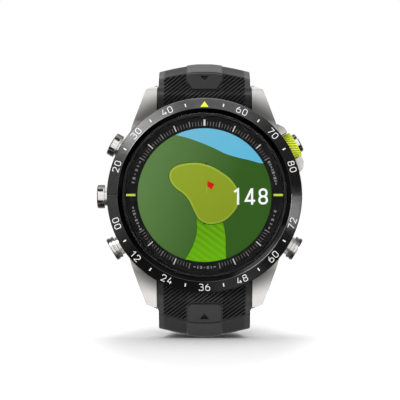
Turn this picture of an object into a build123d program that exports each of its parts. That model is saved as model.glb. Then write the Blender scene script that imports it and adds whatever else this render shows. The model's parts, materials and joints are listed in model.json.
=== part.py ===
"""Golf GPS watch: a 46 mm round head with five pushers, on a two-piece rubber strap with a pin buckle.

Row frame, millimetres. The watch stands upright on its lower strap with the dial towards -Y and
12 o'clock towards +Z. The origin is the centre of the flat sensor window on the wrist side.
The head is drawn in a dial frame (x to 3 o'clock, y to 12 o'clock, z out of the dial towards
the reader) and turned into the row frame at the end. The strap is drawn in the row frame.
"""

from build123d import *
import math
import os

# ---------------------------------------------------------------- driving dimensions, dial frame
CASE_R = 22.4
CASE_BACK = 1.1
CASE_TOP = 11.4
CASE_BACK_CHAMFER = 1.6
CAVITY_R = 19.6
REAR_SHELF_R = 17.0
REAR_SHELF_TOP = 3.4
COVER_INNER = 2.2
COVER_R = 19.9
COVER_OUTER = 0.9
BUMP_R = 11.5
BUMP_TOP = 0.25
COVER_SCREW_AT = (12.9, 16.5)

BEZEL_R = 23.0
BEZEL_BORE_R = 19.45
BEZEL_CREST = (20.45, 14.3)
LENS_R = 19.35
LENS_BASE = 12.75
LENS_APEX = 14.9
LEDGE_R = 18.6

LUG_GAP = 22.6
LUG_TIP_INNER = 26.75
LUG_TIP_OUTER = (13.9, 25.7)
LUG_ROOT_OUTER = (17.25, 16.2)
STRAP_RECESS_R = 21.0
LUG_BAR_R = 1.0
LUG_BAR_TIP_R = 0.55
PIN = (24.2, 5.0)
LUG_TIP_R = 2.6
LUG_CROWN = 0.45

BUTTON_Z = 7.0
BUTTONS = {"light": 150, "up": 180, "down": 210, "start": 30, "back": 330}
STEM_R = 0.8
STEM_END = 18.4
TUBE_R = 2.0
TUBE_IN = 19.3
COLLAR_R = 2.3
COLLAR_TOP = 23.95
CAP_R = 2.8
CAP_BASE = 23.75
CAP_TOP = 25.5
CAP_RECESS_R = 2.45
CAP_RECESS_TOP = 24.75
START_CAP_R = 2.3
START_CAP_BASE = 24.2
START_CAP_TOP = 26.1
SLEEVE_R = 3.15
SLEEVE_IN_R = 2.4
SLEEVE_TOP = 25.1
NOTCHES = 6
SPRING_R = 1.2
SPRING_WIRE_R = 0.13
SPRING_BASE = 21.1
CLEAR = 0.05

# ---------------------------------------------------------------- driving dimensions, strap, row frame
STRAP_W = 22.0
TAIL_W = 19.6
PIN_Y = -PIN[1]
PIN_Z = PIN[0]
KNUCKLE_R = 2.6
NEAR_SLOPE = math.atan2(6.05, 4.8)
CREASE = (-4.8, 29.65)
STRAP_SHOULDER = (-9.6, 23.6)
STRAP_TOP = 33.2
FLOOR_DROP = 33.4
LEG_T = 3.0
LEG_SLOPE = 10.0
LEG_START = (8.5, STRAP_TOP)
LEG_RUN = 40.0
TAIL_T = 2.9
TAIL_FLAT_END = 30.0
TAIL_BEND_R = 34.0
TAIL_RISE = 26.0
TAIL_TIP_R = 8.0
HOLES = 9
HOLE_PITCH = 6.0
HOLE_FIRST = 11.0
HOOK_W = 10.0
LATCH_W = 8.4
LATCH_FOOT_W = 9.6
LATCH_STEP = -1.75
LATCH_TRAVEL = 1.2
SPRING_END = 10.5
BUCKLE_BAR_R = 0.75
BUCKLE_END_R = 1.9
BUCKLE_REACH = 9.0
BUCKLE_RISE = 1.0
BUCKLE_INNER_W = 20.4
STRAP_END_W = 19.8
BUCKLE_EAR_T = 1.8
TONGUE_W = 2.6
TONGUE_T = 1.2
TONGUE_LENGTH = 10.9
KEEPER_WALL = 1.1
KEEPER_W = 5.0
KEEPER_ROOM = 6.1
FIXED_KEEPER_AT = 28.5
FREE_KEEPER_AT = 19.0

DIAL = Plane(origin=(0, 0, 0), x_dir=(1, 0, 0), z_dir=(0, -1, 0))
BASE = (Align.CENTER, Align.CENTER, Align.MIN)


def disc(radius, low, high, at=(0, 0)):
    """Upright cylinder between two dial heights."""
    return Pos(at[0], at[1], low) * Cylinder(radius, high - low, align=BASE)


def ring(outer, inner, low, high, at=(0, 0)):
    """Flat ring between two dial heights."""
    return disc(outer, low, high, at) - disc(inner, low - 1, high + 1, at)


def slab(size_x, size_y, low, high, at=(0, 0)):
    """Upright box between two dial heights."""
    return Pos(at[0], at[1], low) * Box(size_x, size_y, high - low, align=BASE)


def turned(points):
    """Solid of revolution about the dial axis from (radius, height) corners."""
    outline = make_face(Plane.XZ * Polyline(*points, close=True))
    return revolve(outline, Axis.Z, 360)


def plate(points, low, high):
    """Polygon in the dial plane, extruded between two dial heights."""
    outline = make_face(Polyline(*points, close=True))
    return Pos(0, 0, low) * extrude(outline, high - low)


def radial(angle):
    """Frame whose z runs outwards along a pusher's axis and whose x lies in the dial plane."""
    turn = math.radians(angle)
    out = (math.cos(turn), math.sin(turn), 0)
    side = (-math.sin(turn), math.cos(turn), 0)
    return Plane(origin=(0, 0, BUTTON_Z), x_dir=side, z_dir=out)


def four_corners(at):
    """The four mirror places of a point in the first quadrant."""
    return [(sx * at[0], sy * at[1]) for sx in (1, -1) for sy in (1, -1)]


# ---------------------------------------------------------------- head: metal shells


def lug():
    """One lug, at the upper right: plan outline crossed with side outline."""
    plan = plate(
        [
            (LUG_GAP / 2, 12.0),
            (LUG_GAP / 2, LUG_TIP_INNER),
            LUG_TIP_OUTER,
            LUG_ROOT_OUTER,
            (18.2, 12.5),
            (14.0, 10.0),
        ],
        0,
        CASE_TOP,
    )
    shoulder = (17.2, CASE_TOP)
    reach = math.dist(shoulder, PIN)
    slope = math.atan2(PIN[1] - shoulder[1], PIN[0] - shoulder[0])
    slope += math.asin(LUG_TIP_R / reach)
    run = math.sqrt(reach**2 - LUG_TIP_R**2)
    tangent = (shoulder[0] + run * math.cos(slope), shoulder[1] + run * math.sin(slope))
    crown = (
        (shoulder[0] + tangent[0]) / 2 - LUG_CROWN * math.sin(slope),
        (shoulder[1] + tangent[1]) / 2 + LUG_CROWN * math.cos(slope),
    )
    edges = [
        Line((8.0, CASE_BACK), (8.0, CASE_TOP)),
        Line((8.0, CASE_TOP), shoulder),
        ThreePointArc(shoulder, crown, tangent),
        ThreePointArc(tangent, (PIN[0] + LUG_TIP_R, PIN[1]), (PIN[0], PIN[1] - LUG_TIP_R)),
        Line((PIN[0], PIN[1] - LUG_TIP_R), (20.0, CASE_BACK)),
        Line((20.0, CASE_BACK), (8.0, CASE_BACK)),
    ]
    side = extrude(Plane.YZ * make_face(edges), 20)
    return plan & side


def crown_guards():
    """The two ears of the case that stand beside the start pusher."""
    frame = Plane(
        origin=(0, 0, 0),
        x_dir=(math.cos(math.radians(BUTTONS["start"])), math.sin(math.radians(BUTTONS["start"])), 0),
        z_dir=(0, 0, 1),
    )
    upper = [(20, 3.3), (24.5, 3.3), (24.4, 4.6), (23.5, 6.0), (20, 7.0)]
    lower = [(x, -y) for x, y in upper]
    ears = plate(upper, 3.0, 11.0) + plate(lower, 3.0, 11.0)
    return frame * ears


def mid_case():
    """Titanium middle case with four lugs, pusher bores, rear shelf and strap recesses."""
    back_r = CASE_R - CASE_BACK_CHAMFER
    body = turned(
        [
            (0, CASE_BACK),
            (back_r, CASE_BACK),
            (CASE_R, CASE_BACK + 2.2),
            (CASE_R, CASE_TOP),
            (0, CASE_TOP),
        ]
    )
    corner = lug()
    lugs = [corner, mirror(corner, Plane.YZ), mirror(corner, Plane.XZ)]
    lugs.append(mirror(lugs[1], Plane.XZ))
    body = body + lugs + crown_guards()
    between = Pos(0, 0, -1) * Box(LUG_GAP, 60, 20, align=BASE)
    body -= between - disc(STRAP_RECESS_R, -1, 20)
    body -= disc(CAVITY_R, REAR_SHELF_TOP, 20)
    body -= disc(REAR_SHELF_R, 0, 20)
    body -= rear_outline(COVER_R + CLEAR, 1.75, 0, COVER_INNER)
    body -= ring(18.5, 17.8, COVER_INNER - 0.1, 2.45)
    for at in four_corners(COVER_SCREW_AT):
        body -= disc(0.6, 2, 4.9, at)
    for at in CHASSIS_SCREWS:
        body -= disc(0.5, 2.6, 4, at)
    for angle in BUTTONS.values():
        body -= radial(angle) * disc(TUBE_R, 16, 24)
    body -= radial(BUTTONS["start"]) * disc(SLEEVE_R + CLEAR, 22.3, 26)
    for side in (1, -1):
        bore = Plane(origin=(0, side * PIN[0], PIN[1]), z_dir=(1, 0, 0)) * Cylinder(0.6, 25.6)
        body -= bore
    return body


def rear_outline(radius, lobe, low, high):
    """Round plate with a lobe at each of its four screws."""
    shape = disc(radius, low, high)
    for at in four_corners(COVER_SCREW_AT):
        shape += disc(lobe, low, high, at)
    return shape


def bezel_ring():
    """Coated bezel with a sloping scale band, a skirt and hairlines at 3 and 9 o'clock."""
    body = turned(
        [
            (LEDGE_R, CASE_TOP),
            (18.7, CASE_TOP),
            (18.7, 10.4),
            (19.2, 10.4),
            (19.2, CASE_TOP),
            (BEZEL_R, CASE_TOP),
            (BEZEL_R, 12.8),
            (BEZEL_R - 0.2, 13.0),
            BEZEL_CREST,
            (BEZEL_BORE_R, 13.85),
            (BEZEL_BORE_R, 12.5),
            (LEDGE_R, 12.5),
        ]
    )
    for side in (1, -1):
        groove = Pos(side * 21.9, 0, 13.55) * Rot(0, side * 29.4, 0) * Box(3.4, 0.22, 0.5)
        body -= groove
    return body


def lens():
    """Domed sapphire crystal with a bevelled rim."""
    rim = (18.3, 14.2)
    drop = LENS_APEX - rim[1]
    dome_r = (rim[0] ** 2 + drop**2) / (2 * drop)
    slope = (rim[1] - 13.75) / (LENS_R - rim[0])
    tip = rim[1] + rim[0] * slope
    rough = disc(LENS_R, LENS_BASE, LENS_APEX + 1)
    bevel = Pos(0, 0, 10.0) * Cone((tip - 10.0) / slope, 0, tip - 10.0, align=BASE)
    return rough & bevel & (Pos(0, 0, LENS_APEX - dome_r) * Sphere(dome_r))


def rear_cover():
    """Titanium back plate: raised sensor bump, four screw lobes, port and vent openings."""
    body = rear_outline(COVER_R, 1.7, COVER_OUTER, COVER_INNER)
    body += disc(BUMP_R, BUMP_TOP, COVER_OUTER)
    rim = body.edges().filter_by(GeomType.CIRCLE).sort_by(Axis.Z)[0]
    body = chamfer(rim, 0.4)
    body -= disc(9.05, 0, 0.95)
    body -= disc(8.2, 0, 3)
    for at in four_corners(COVER_SCREW_AT):
        body -= disc(1.2, 0, 1.5, at)
        body -= disc(0.6, 0, 3, at)
    body -= port_outline(9.0, 4.0, 0, 3)
    body -= disc(1.55, 0, 1.4, VENT_AT)
    body -= disc(0.6, 0, 3, VENT_AT)
    return body


PORT_AT = (0, -14.6)
VENT_AT = (0, 15.0)


def port_outline(length, width, low, high):
    """Stadium-shaped block at the charging port."""
    face = SlotOverall(length, width)
    return Pos(PORT_AT[0], PORT_AT[1], low) * extrude(face, high - low)


# ---------------------------------------------------------------- head: inside

CHASSIS_SCREWS = [(0, 18.4), (0, -18.4), (18.4, 0)]
CHASSIS_R = 17.3
CHASSIS_WALL = 1.0
CHASSIS_BASE = REAR_SHELF_TOP
CHASSIS_TOP = 10.0
FLOOR_LOW = 6.9
FLOOR_HIGH = 7.6


def inner_chassis():
    """Moulded tray: battery bay below its floor, board bay above, a pocket for each switch."""
    inner = CHASSIS_R - CHASSIS_WALL
    body = ring(CHASSIS_R, inner, CHASSIS_BASE, CHASSIS_TOP)
    body += disc(inner + 0.2, FLOOR_LOW, FLOOR_HIGH)
    for at in CHASSIS_SCREWS:
        body += disc(1.1, CHASSIS_BASE, 4.6, at)
    for at in CHASSIS_SCREWS:
        body -= disc(0.5, 3, 5, at)
    for angle in BUTTONS.values():
        body -= radial(angle) * Pos(0, 0, 16.9) * Box(3.4, 3.4, 1.4)
    return body


def button_switches():
    """Five side-push switches in the chassis pockets, each a body and a round plunger."""
    made = []
    for angle in BUTTONS.values():
        block = Pos(0, 0, 16.85) * Box(3.2, 3.2, 0.6) + disc(0.8, 17.15, 17.5)
        made.append(radial(angle) * block)
    return made


def battery():
    """Lithium pouch cell with rounded corners."""
    face = RectangleRounded(21.6, 23.6, 3.0)
    return Pos(0, 0, 3.65) * extrude(face, 3.1)


def main_board():
    """Round circuit board with a connector step."""
    return disc(16.1, 7.7, 8.5) - slab(5, 3, 7, 9, (0, -15.5))


def shield_cans():
    """Two folded shields over the radio and the processor."""
    return [slab(12, 9, 8.5, 9.8, (-5, 5)), slab(9, 8, 8.5, 9.7, (6.5, -4.5))]


def board_chips():
    """Memory, power and sensor chips between the shields."""
    places = [
        ((7.5, 5.5), 4.0, 3.2),
        ((-6.5, -4.0), 4.5, 4.5),
        ((-1.2, -8.5), 3.0, 2.0),
        ((11.5, 2.2), 2.0, 2.4),
    ]
    return [slab(w, d, 8.5, 9.3, at) for at, w, d in places]


def display_flex():
    """Ribbon from the display's underside down to the main board."""
    upright = Pos(0, -13.3, 8.55) * Box(5, 0.14, 2.3, align=BASE)
    foot = Pos(0, -12.6, 8.55) * Box(5, 1.4, 0.14, align=BASE)
    head = Pos(0, -12.6, 10.71) * Box(5, 1.4, 0.14, align=BASE)
    return upright + foot + head


def display_frame():
    """Plastic carrier ring under the display."""
    return ring(18.4, 17.7, 10.3, 12.15) + ring(17.7, 14.0, 10.3, 10.85)


def vibration_motor():
    """Cylindrical vibration motor beside the battery, with its eccentric weight."""
    axis = Plane(origin=(13.3, 0, 5.3), z_dir=(0, 1, 0))
    can = Cylinder(1.5, 6.4, align=BASE)
    shaft = Pos(0, 0, 6.4) * Cylinder(0.3, 0.5, align=BASE)
    weight = Pos(0, 0, 6.9) * (Cylinder(1.4, 1.6, align=BASE) - Pos(0.9, 0, 0) * Box(1.8, 3, 4))
    return axis * Pos(0, 0, -4.6) * (can + shaft + weight)


def sensor_leds():
    """Emitters in the middle and a ring of photodiodes on the sensor board."""
    made = [slab(1.6, 1.6, 1.05, 1.55, at) for at in ((-1.1, 0), (1.1, 0))]
    for step in range(6):
        turn = math.radians(60 * step + 30)
        at = (5.6 * math.cos(turn), 5.6 * math.sin(turn))
        made.append(Pos(at[0], at[1], 1.05) * Rot(0, 0, 60 * step + 30) * Box(1.8, 2.6, 0.5, align=BASE))
    return made


def charging_port():
    """Plastic socket in the rear cover with four contact holes."""
    body = port_outline(9.0, 4.0, COVER_OUTER, COVER_INNER)
    body -= port_outline(7.4, 2.4, 0, 1.6)
    for x in CONTACTS:
        body -= disc(0.36, 0, 3, (x, PORT_AT[1]))
    return body


CONTACTS = (-2.4, -0.8, 0.8, 2.4)


def charging_contacts():
    """Four gold-plated pins."""
    return [disc(0.35, 1.25, 2.9, (x, PORT_AT[1])) for x in CONTACTS]


def cover_screws():
    """Four socket-head screws that hold the rear cover."""
    made = []
    socket = extrude(RegularPolygon(0.55, 6), 0.4)
    for at in four_corners(COVER_SCREW_AT):
        screw = disc(1.15, 0.92, 1.5, at) + disc(0.55, 1.5, 4.7, at)
        made.append(screw - Pos(at[0], at[1], 0.8) * socket)
    return made


def chassis_screws():
    """Three small screws that hold the chassis to the rear shelf."""
    return [disc(0.9, 4.6, 5.1, at) + disc(0.45, 2.7, 4.6, at) for at in CHASSIS_SCREWS]


# ---------------------------------------------------------------- head: pushers


def pusher(name):
    """Cap and stem of one pusher, drawn along its own axis."""
    start = name == "start"
    radius = START_CAP_R if start else CAP_R
    base = START_CAP_BASE if start else CAP_BASE
    top = START_CAP_TOP if start else CAP_TOP
    cap = disc(radius, base, top)
    cap = chamfer(cap.edges().filter_by(GeomType.CIRCLE).sort_by(Axis.Z)[-1], 0.25)
    for step in range(NOTCHES):
        notch = Box(0.75, 0.7, 4)
        turn = 360 / NOTCHES * step + 30
        cap -= Pos(0, 0, base + 2.3) * Rot(0, 0, turn) * Pos(0, radius, 0) * notch
    if not start:
        cap -= disc(CAP_RECESS_R, base - 1, CAP_RECESS_TOP)
    stem = disc(STEM_R, STEM_END, top - 0.5) - ring(2, 0.6, 18.8, 19.15)
    return radial(BUTTONS[name]) * (cap + stem)


def clip(name):
    """Retaining clip in the stem's groove, open on one side."""
    body = ring(1.45, 0.6, 18.82, 19.13) - Pos(1.0, 0, 19) * Box(2.0, 0.9, 1)
    return radial(BUTTONS[name]) * body


def spring(name):
    """Return spring round the stem, between the tube's step and the cap."""
    top = (START_CAP_BASE if name == "start" else CAP_RECESS_TOP) - 0.2
    length = top - SPRING_BASE
    path = Helix(pitch=length / 4.5, height=length, radius=SPRING_R)
    section = Plane(origin=path @ 0, z_dir=path % 0) * Circle(SPRING_WIRE_R)
    coil = sweep(section, path=path, is_frenet=True)
    return radial(BUTTONS[name]) * Pos(0, 0, SPRING_BASE) * coil


def tube(name):
    """Guide tube pressed into the case, with a seal groove and a spring pocket."""
    start = name == "start"
    body = disc(TUBE_R, TUBE_IN, 22.2)
    if start:
        body += disc(TUBE_R, 22.2, 22.8)
    else:
        body += disc(COLLAR_R, 22.6, COLLAR_TOP) + disc(TUBE_R, 22.2, 22.6)
    body -= disc(STEM_R + CLEAR, 19, 27)
    body -= disc(1.4, 19.9, 20.6)
    body -= disc(1.55, 20.9, 27)
    return radial(BUTTONS[name]) * body


def seal(name):
    """O-ring in the tube's groove."""
    return radial(BUTTONS[name]) * Pos(0, 0, 20.25) * Torus(1.1, 0.27)


def start_sleeve():
    """Coloured sleeve round the start pusher."""
    body = ring(SLEEVE_R, SLEEVE_IN_R, 22.85, SLEEVE_TOP) + ring(SLEEVE_R, TUBE_R + 0.01, 22.35, 22.85)
    return radial(BUTTONS["start"]) * body


# ---------------------------------------------------------------- strap: shared near end
# The near end is drawn for the upper strap; the lower strap mirrors it across the XY plane.

NEAR = Plane(
    origin=(0, PIN_Y, PIN_Z),
    x_dir=(0, math.cos(NEAR_SLOPE), math.sin(NEAR_SLOPE)),
    z_dir=(1, 0, 0),
)
LEG = Plane(
    origin=(0, LEG_START[0], LEG_START[1]),
    x_dir=(0, math.cos(math.radians(LEG_SLOPE)), -math.sin(math.radians(LEG_SLOPE))),
    z_dir=(1, 0, 0),
)


def wide(frame, face, width):
    """Face in a side frame, extruded evenly to both sides of the watch's middle plane."""
    return frame * Pos(0, 0, -width / 2) * extrude(face, width)


def box_between(frame, low, high, width):
    """Box between two corners of a side frame."""
    size = (high[0] - low[0], high[1] - low[1])
    centre = ((high[0] + low[0]) / 2, (high[1] + low[1]) / 2, 0)
    return frame * Pos(*centre) * Box(size[0], size[1], width)


def inner_near():
    """Corners of the strap's wrist side, from the knuckle to the leg."""
    along = (math.cos(NEAR_SLOPE), math.sin(NEAR_SLOPE))
    start = (PIN_Y + KNUCKLE_R * along[1], PIN_Z - KNUCKLE_R * along[0])
    bend = (start[0] + 5.2 * along[0], start[1] + 5.2 * along[1])
    return [start, bend]


def finish_near_end(body):
    """Knuckle, bar bore, hook and latch pockets, and the end face that follows the bezel."""
    body -= Plane.XZ * Cylinder(BEZEL_R + 0.3, 80)
    body += NEAR * Cylinder(KNUCKLE_R, STRAP_W)
    body -= NEAR * Cylinder(LUG_BAR_R + 0.1, 40)
    body -= NEAR * Cylinder(2.1, HOOK_W + 0.2)
    body -= box_between(NEAR, (0, -0.4), (7.1, 0.65), HOOK_W + 0.1)
    body -= box_between(NEAR, (-0.2, -4.0), (9.3 + LATCH_TRAVEL, LATCH_STEP - 0.1), LATCH_W + 0.2)
    body -= box_between(NEAR, (-0.2, LATCH_STEP - 0.1), (9.3 + LATCH_TRAVEL, -1.2), LATCH_FOOT_W + 0.2)
    body -= box_between(NEAR, (4.4, -1.3), (SPRING_END, -0.55), 3.8)
    return body


def hook():
    """Claw that grips the lug bar, with a tang moulded into the strap."""
    claw = Circle(2.0) - Circle(LUG_BAR_R + CLEAR)
    mouth = make_face(Polyline((0, 0), (5, 1.4), (5, -5), (-2.4, -5), close=True))
    body = wide(NEAR, claw - mouth, HOOK_W)
    body += box_between(NEAR, (1.3, 0.1), (7.0, 0.6), HOOK_W)
    return body - NEAR * Cylinder(LUG_BAR_R + CLEAR, 40)


def latch():
    """Sliding release in a T slot on the wrist side, ribbed for a fingernail, closing the claw."""
    body = box_between(NEAR, (0.0, LATCH_STEP), (9.2, -1.3), LATCH_FOOT_W)
    body += box_between(NEAR, (0.0, -2.3), (9.2, LATCH_STEP), LATCH_W)
    for step in range(4):
        at = 5.0 + step * 0.9
        body += box_between(NEAR, (at, -2.6), (at + 0.45, -2.3), LATCH_W - 1.0)
    body += box_between(NEAR, (4.6, -1.3), (5.2, -0.7), 3.4)
    return body


def latch_spring():
    """Wave spring between the latch's tab and the end of its pocket."""
    step = (SPRING_END - 0.1 - 5.3) / 6
    crests = [(5.3 + index * step, -0.75 if index % 2 == 0 else -1.15) for index in range(7)]
    top = [(x, y + 0.06) for x, y in crests]
    under = [(x, y - 0.06) for x, y in reversed(crests)]
    return wide(NEAR, make_face(Polyline(*top, *under, close=True)), 2.6)


# ---------------------------------------------------------------- upper strap and buckle


def leg_point(along, out):
    """Point of the upper leg in (y, z): along the leg and out from its outer face."""
    slope = math.radians(LEG_SLOPE)
    y = LEG_START[0] + along * math.cos(slope) + out * math.sin(slope)
    z = LEG_START[1] - along * math.sin(slope) + out * math.cos(slope)
    return (y, z)


def strap_upper():
    """Buckle half of the strap, with the slot for the tongue and relief for the buckle's ears."""
    start, bend = inner_near()
    corners = [
        (-10.0, 19.0),
        STRAP_SHOULDER,
        CREASE,
        (1.2, STRAP_TOP),
        LEG_START,
        leg_point(LEG_RUN, 0),
        leg_point(LEG_RUN, -LEG_T),
        leg_point(-0.3, -LEG_T),
        (3.6, 29.4),
        bend,
        start,
        (PIN_Y, 19.0),
    ]
    face = make_face(Polyline(*corners, close=True))
    rounded = {1: 3.0, 2: 3.0, 3: 3.0, 4: 20.0, 7: 12.0, 8: 4.0, 9: 3.0}
    for index, radius in rounded.items():
        near = min(face.vertices(), key=lambda v: math.dist((v.X, v.Y), corners[index]))
        face = fillet(near, radius)
    body = finish_near_end(wide(Plane.YZ, face, STRAP_W))
    body += BUCKLE * Cylinder(BUCKLE_END_R, STRAP_W)
    body -= BUCKLE * Cylinder(BUCKLE_BAR_R + 0.03, 40)
    for side in (1, -1):
        body -= BUCKLE * Pos(1.6, 0, side * (STRAP_END_W / 2 + 2)) * Box(8.0, 8.0, 4)
    body -= BUCKLE * Pos(-0.6, 0, 0) * Box(8.2, 8.0, TONGUE_W + 0.6)
    return body


BUCKLE = LEG * Pos(LEG_RUN, -LEG_T / 2, 0)


def buckle_frame():
    """Open frame: two ears on the bar and a rounded cross bar with a rest for the tongue."""
    far = (BUCKLE_REACH, BUCKLE_RISE)
    ear = make_hull([*Circle(BUCKLE_END_R).edges(), *(Pos(*far) * Circle(1.6)).edges()])
    width = BUCKLE_INNER_W + 2 * BUCKLE_EAR_T
    body = BUCKLE * Pos(0, 0, -width / 2) * extrude(ear, width)
    body -= BUCKLE * Box(40, 40, BUCKLE_INNER_W)
    cross = Pos(*far) * RectangleRounded(3.0, 2.8, 1.0)
    body += BUCKLE * Pos(0, 0, -width / 2) * extrude(cross, width)
    body -= BUCKLE * Cylinder(BUCKLE_BAR_R + CLEAR, 22.8)
    rest = Pos(BUCKLE_REACH, BUCKLE_RISE + 1.4, 0) * Box(6, 0.7, TONGUE_W + 0.4)
    return body - BUCKLE * rest


def buckle_tongue():
    """Pin that swings on the bar and lies in the cross bar's rest."""
    eye = Circle(1.65)
    tip = TONGUE_LENGTH
    arm = make_face(
        Polyline((0, 1.65), (tip, 3.2), (tip + 0.4, 2.2), (8.0, 2.15), (0.6, 0.4), close=True)
    )
    body = BUCKLE * Pos(0, 0, -TONGUE_W / 2) * extrude(eye + arm, TONGUE_W)
    return body - BUCKLE * Cylinder(BUCKLE_BAR_R + CLEAR, 40)


def buckle_bar():
    """Spring bar through the strap's end and the buckle's ears."""
    return BUCKLE * Cylinder(BUCKLE_BAR_R, 22.6)


def keeper(at):
    """Loop round the upper leg with room above it for the tail."""
    outer_w = STRAP_W + 0.4 + 2 * KEEPER_WALL
    low = -LEG_T - 0.1
    loop = Pos(at, low + KEEPER_ROOM / 2, 0) * Box(KEEPER_W, KEEPER_ROOM + 2 * KEEPER_WALL, outer_w)
    loop = fillet(loop.edges().filter_by(Axis.X), 1.6)
    inside = Pos(at, low + KEEPER_ROOM / 2, 0) * Box(KEEPER_W + 2, KEEPER_ROOM, STRAP_W + 0.4)
    inside = fillet(inside.edges().filter_by(Axis.X), 0.3)
    return LEG * (loop - inside)


# ---------------------------------------------------------------- lower strap


def tail_plane(back):
    """Frame on the tail's middle line, a distance back from its tip, drawn before mirroring."""
    middle = TAIL_FLAT_END + TAIL_BEND_R - TAIL_T / 2
    centre_z = FLOOR_DROP - TAIL_BEND_R
    if back <= TAIL_RISE:
        return Plane(origin=(0, middle, centre_z - TAIL_RISE + back), x_dir=(0, 0, 1), z_dir=(0, 1, 0))
    mean_r = TAIL_BEND_R - TAIL_T / 2
    turn = (back - TAIL_RISE) / mean_r
    origin = (0, TAIL_FLAT_END + mean_r * math.cos(turn), centre_z + mean_r * math.sin(turn))
    return Plane(
        origin=origin,
        x_dir=(0, -math.sin(turn), math.cos(turn)),
        z_dir=(0, math.cos(turn), math.sin(turn)),
    )


def strap_lower():
    """Tail half of the strap: flat where it stands, bent up behind, with holes for the tongue."""
    start, bend = inner_near()
    centre_z = FLOOR_DROP - TAIL_BEND_R
    outer_y = TAIL_FLAT_END + TAIL_BEND_R
    inner_r = TAIL_BEND_R - TAIL_T
    half = math.sqrt(0.5)
    outer_end = (outer_y, centre_z - TAIL_RISE)
    inner_end = (outer_y - TAIL_T, centre_z - TAIL_RISE)
    outer_top = (TAIL_FLAT_END, FLOOR_DROP)
    inner_top = (TAIL_FLAT_END, FLOOR_DROP - TAIL_T)
    foot = (0.2, FLOOR_DROP)
    edges = [
        Line((-10.0, 19.0), STRAP_SHOULDER),
        Line(STRAP_SHOULDER, CREASE),
        Line(CREASE, foot),
        Line(foot, outer_top),
        ThreePointArc(
            outer_top,
            (TAIL_FLAT_END + TAIL_BEND_R * half, centre_z + TAIL_BEND_R * half),
            (outer_y, centre_z),
        ),
        Line((outer_y, centre_z), outer_end),
        Line(outer_end, inner_end),
        Line(inner_end, (outer_y - TAIL_T, centre_z)),
        ThreePointArc(
            (outer_y - TAIL_T, centre_z),
            (TAIL_FLAT_END + inner_r * half, centre_z + inner_r * half),
            inner_top,
        ),
        Line(inner_top, (7.5, FLOOR_DROP - TAIL_T)),
        Line((7.5, FLOOR_DROP - TAIL_T), (3.6, 29.4)),
        Line((3.6, 29.4), bend),
        Line(bend, start),
        Line(start, (PIN_Y, 19.0)),
        Line((PIN_Y, 19.0), (-10.0, 19.0)),
    ]
    face = make_face(edges)
    rounded = {
        STRAP_SHOULDER: 3.0,
        CREASE: 3.0,
        foot: 2.0,
        (7.5, FLOOR_DROP - TAIL_T): 6.0,
        (3.6, 29.4): 4.0,
        bend: 3.0,
    }
    for corner, radius in rounded.items():
        near = min(face.vertices(), key=lambda v: math.dist((v.X, v.Y), corner))
        face = fillet(near, radius)
    body = finish_near_end(wide(Plane.YZ, face, STRAP_W))
    body -= tail_trim()
    for step in range(HOLES):
        frame = tail_plane(HOLE_FIRST + step * HOLE_PITCH)
        body -= frame * Pos(0, 0, -5) * extrude(SlotOverall(3.0, 2.0), 10)
    return mirror(body, Plane.XY)


def tail_trim():
    """What is cut away from the tail: its side taper and the corners of its rounded tip."""
    taper_start = 10.0
    taper_end = TAIL_FLAT_END + TAIL_BEND_R + 1
    blank = Pos(0, 40, 0) * Box(STRAP_W + 2, 100, 120)
    half_w, half_t = STRAP_W / 2, TAIL_W / 2
    plan = make_face(
        Polyline(
            (-half_w, -20),
            (half_w, -20),
            (half_w, taper_start),
            (half_t, taper_end - 12),
            (half_t, taper_end),
            (-half_t, taper_end),
            (-half_t, taper_end - 12),
            (-half_w, taper_start),
            close=True,
        )
    )
    kept = Pos(0, 0, -60) * extrude(plan, 120)
    tip_z = FLOOR_DROP - TAIL_BEND_R - TAIL_RISE
    corners = Pos(0, TAIL_FLAT_END + TAIL_BEND_R, tip_z) * Box(STRAP_W + 2, 12, 2 * TAIL_TIP_R)
    nose_at = (0, TAIL_FLAT_END + TAIL_BEND_R, tip_z + TAIL_TIP_R)
    middle = Plane(origin=nose_at, x_dir=(1, 0, 0), z_dir=(0, 1, 0))
    nose = middle * extrude(Ellipse(TAIL_W / 2, TAIL_TIP_R), 10, both=True)
    return (blank - kept) + (corners - nose)


# ---------------------------------------------------------------- write every node


def lug_bars():
    """Two spring bars between the lugs."""
    made = []
    for side in (1, -1):
        axis = Plane(origin=(0, side * PIN[0], PIN[1]), z_dir=(1, 0, 0))
        made.append(axis * (Cylinder(LUG_BAR_R, 22.0) + Cylinder(LUG_BAR_TIP_R, 25.2)))
    return made


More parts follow.
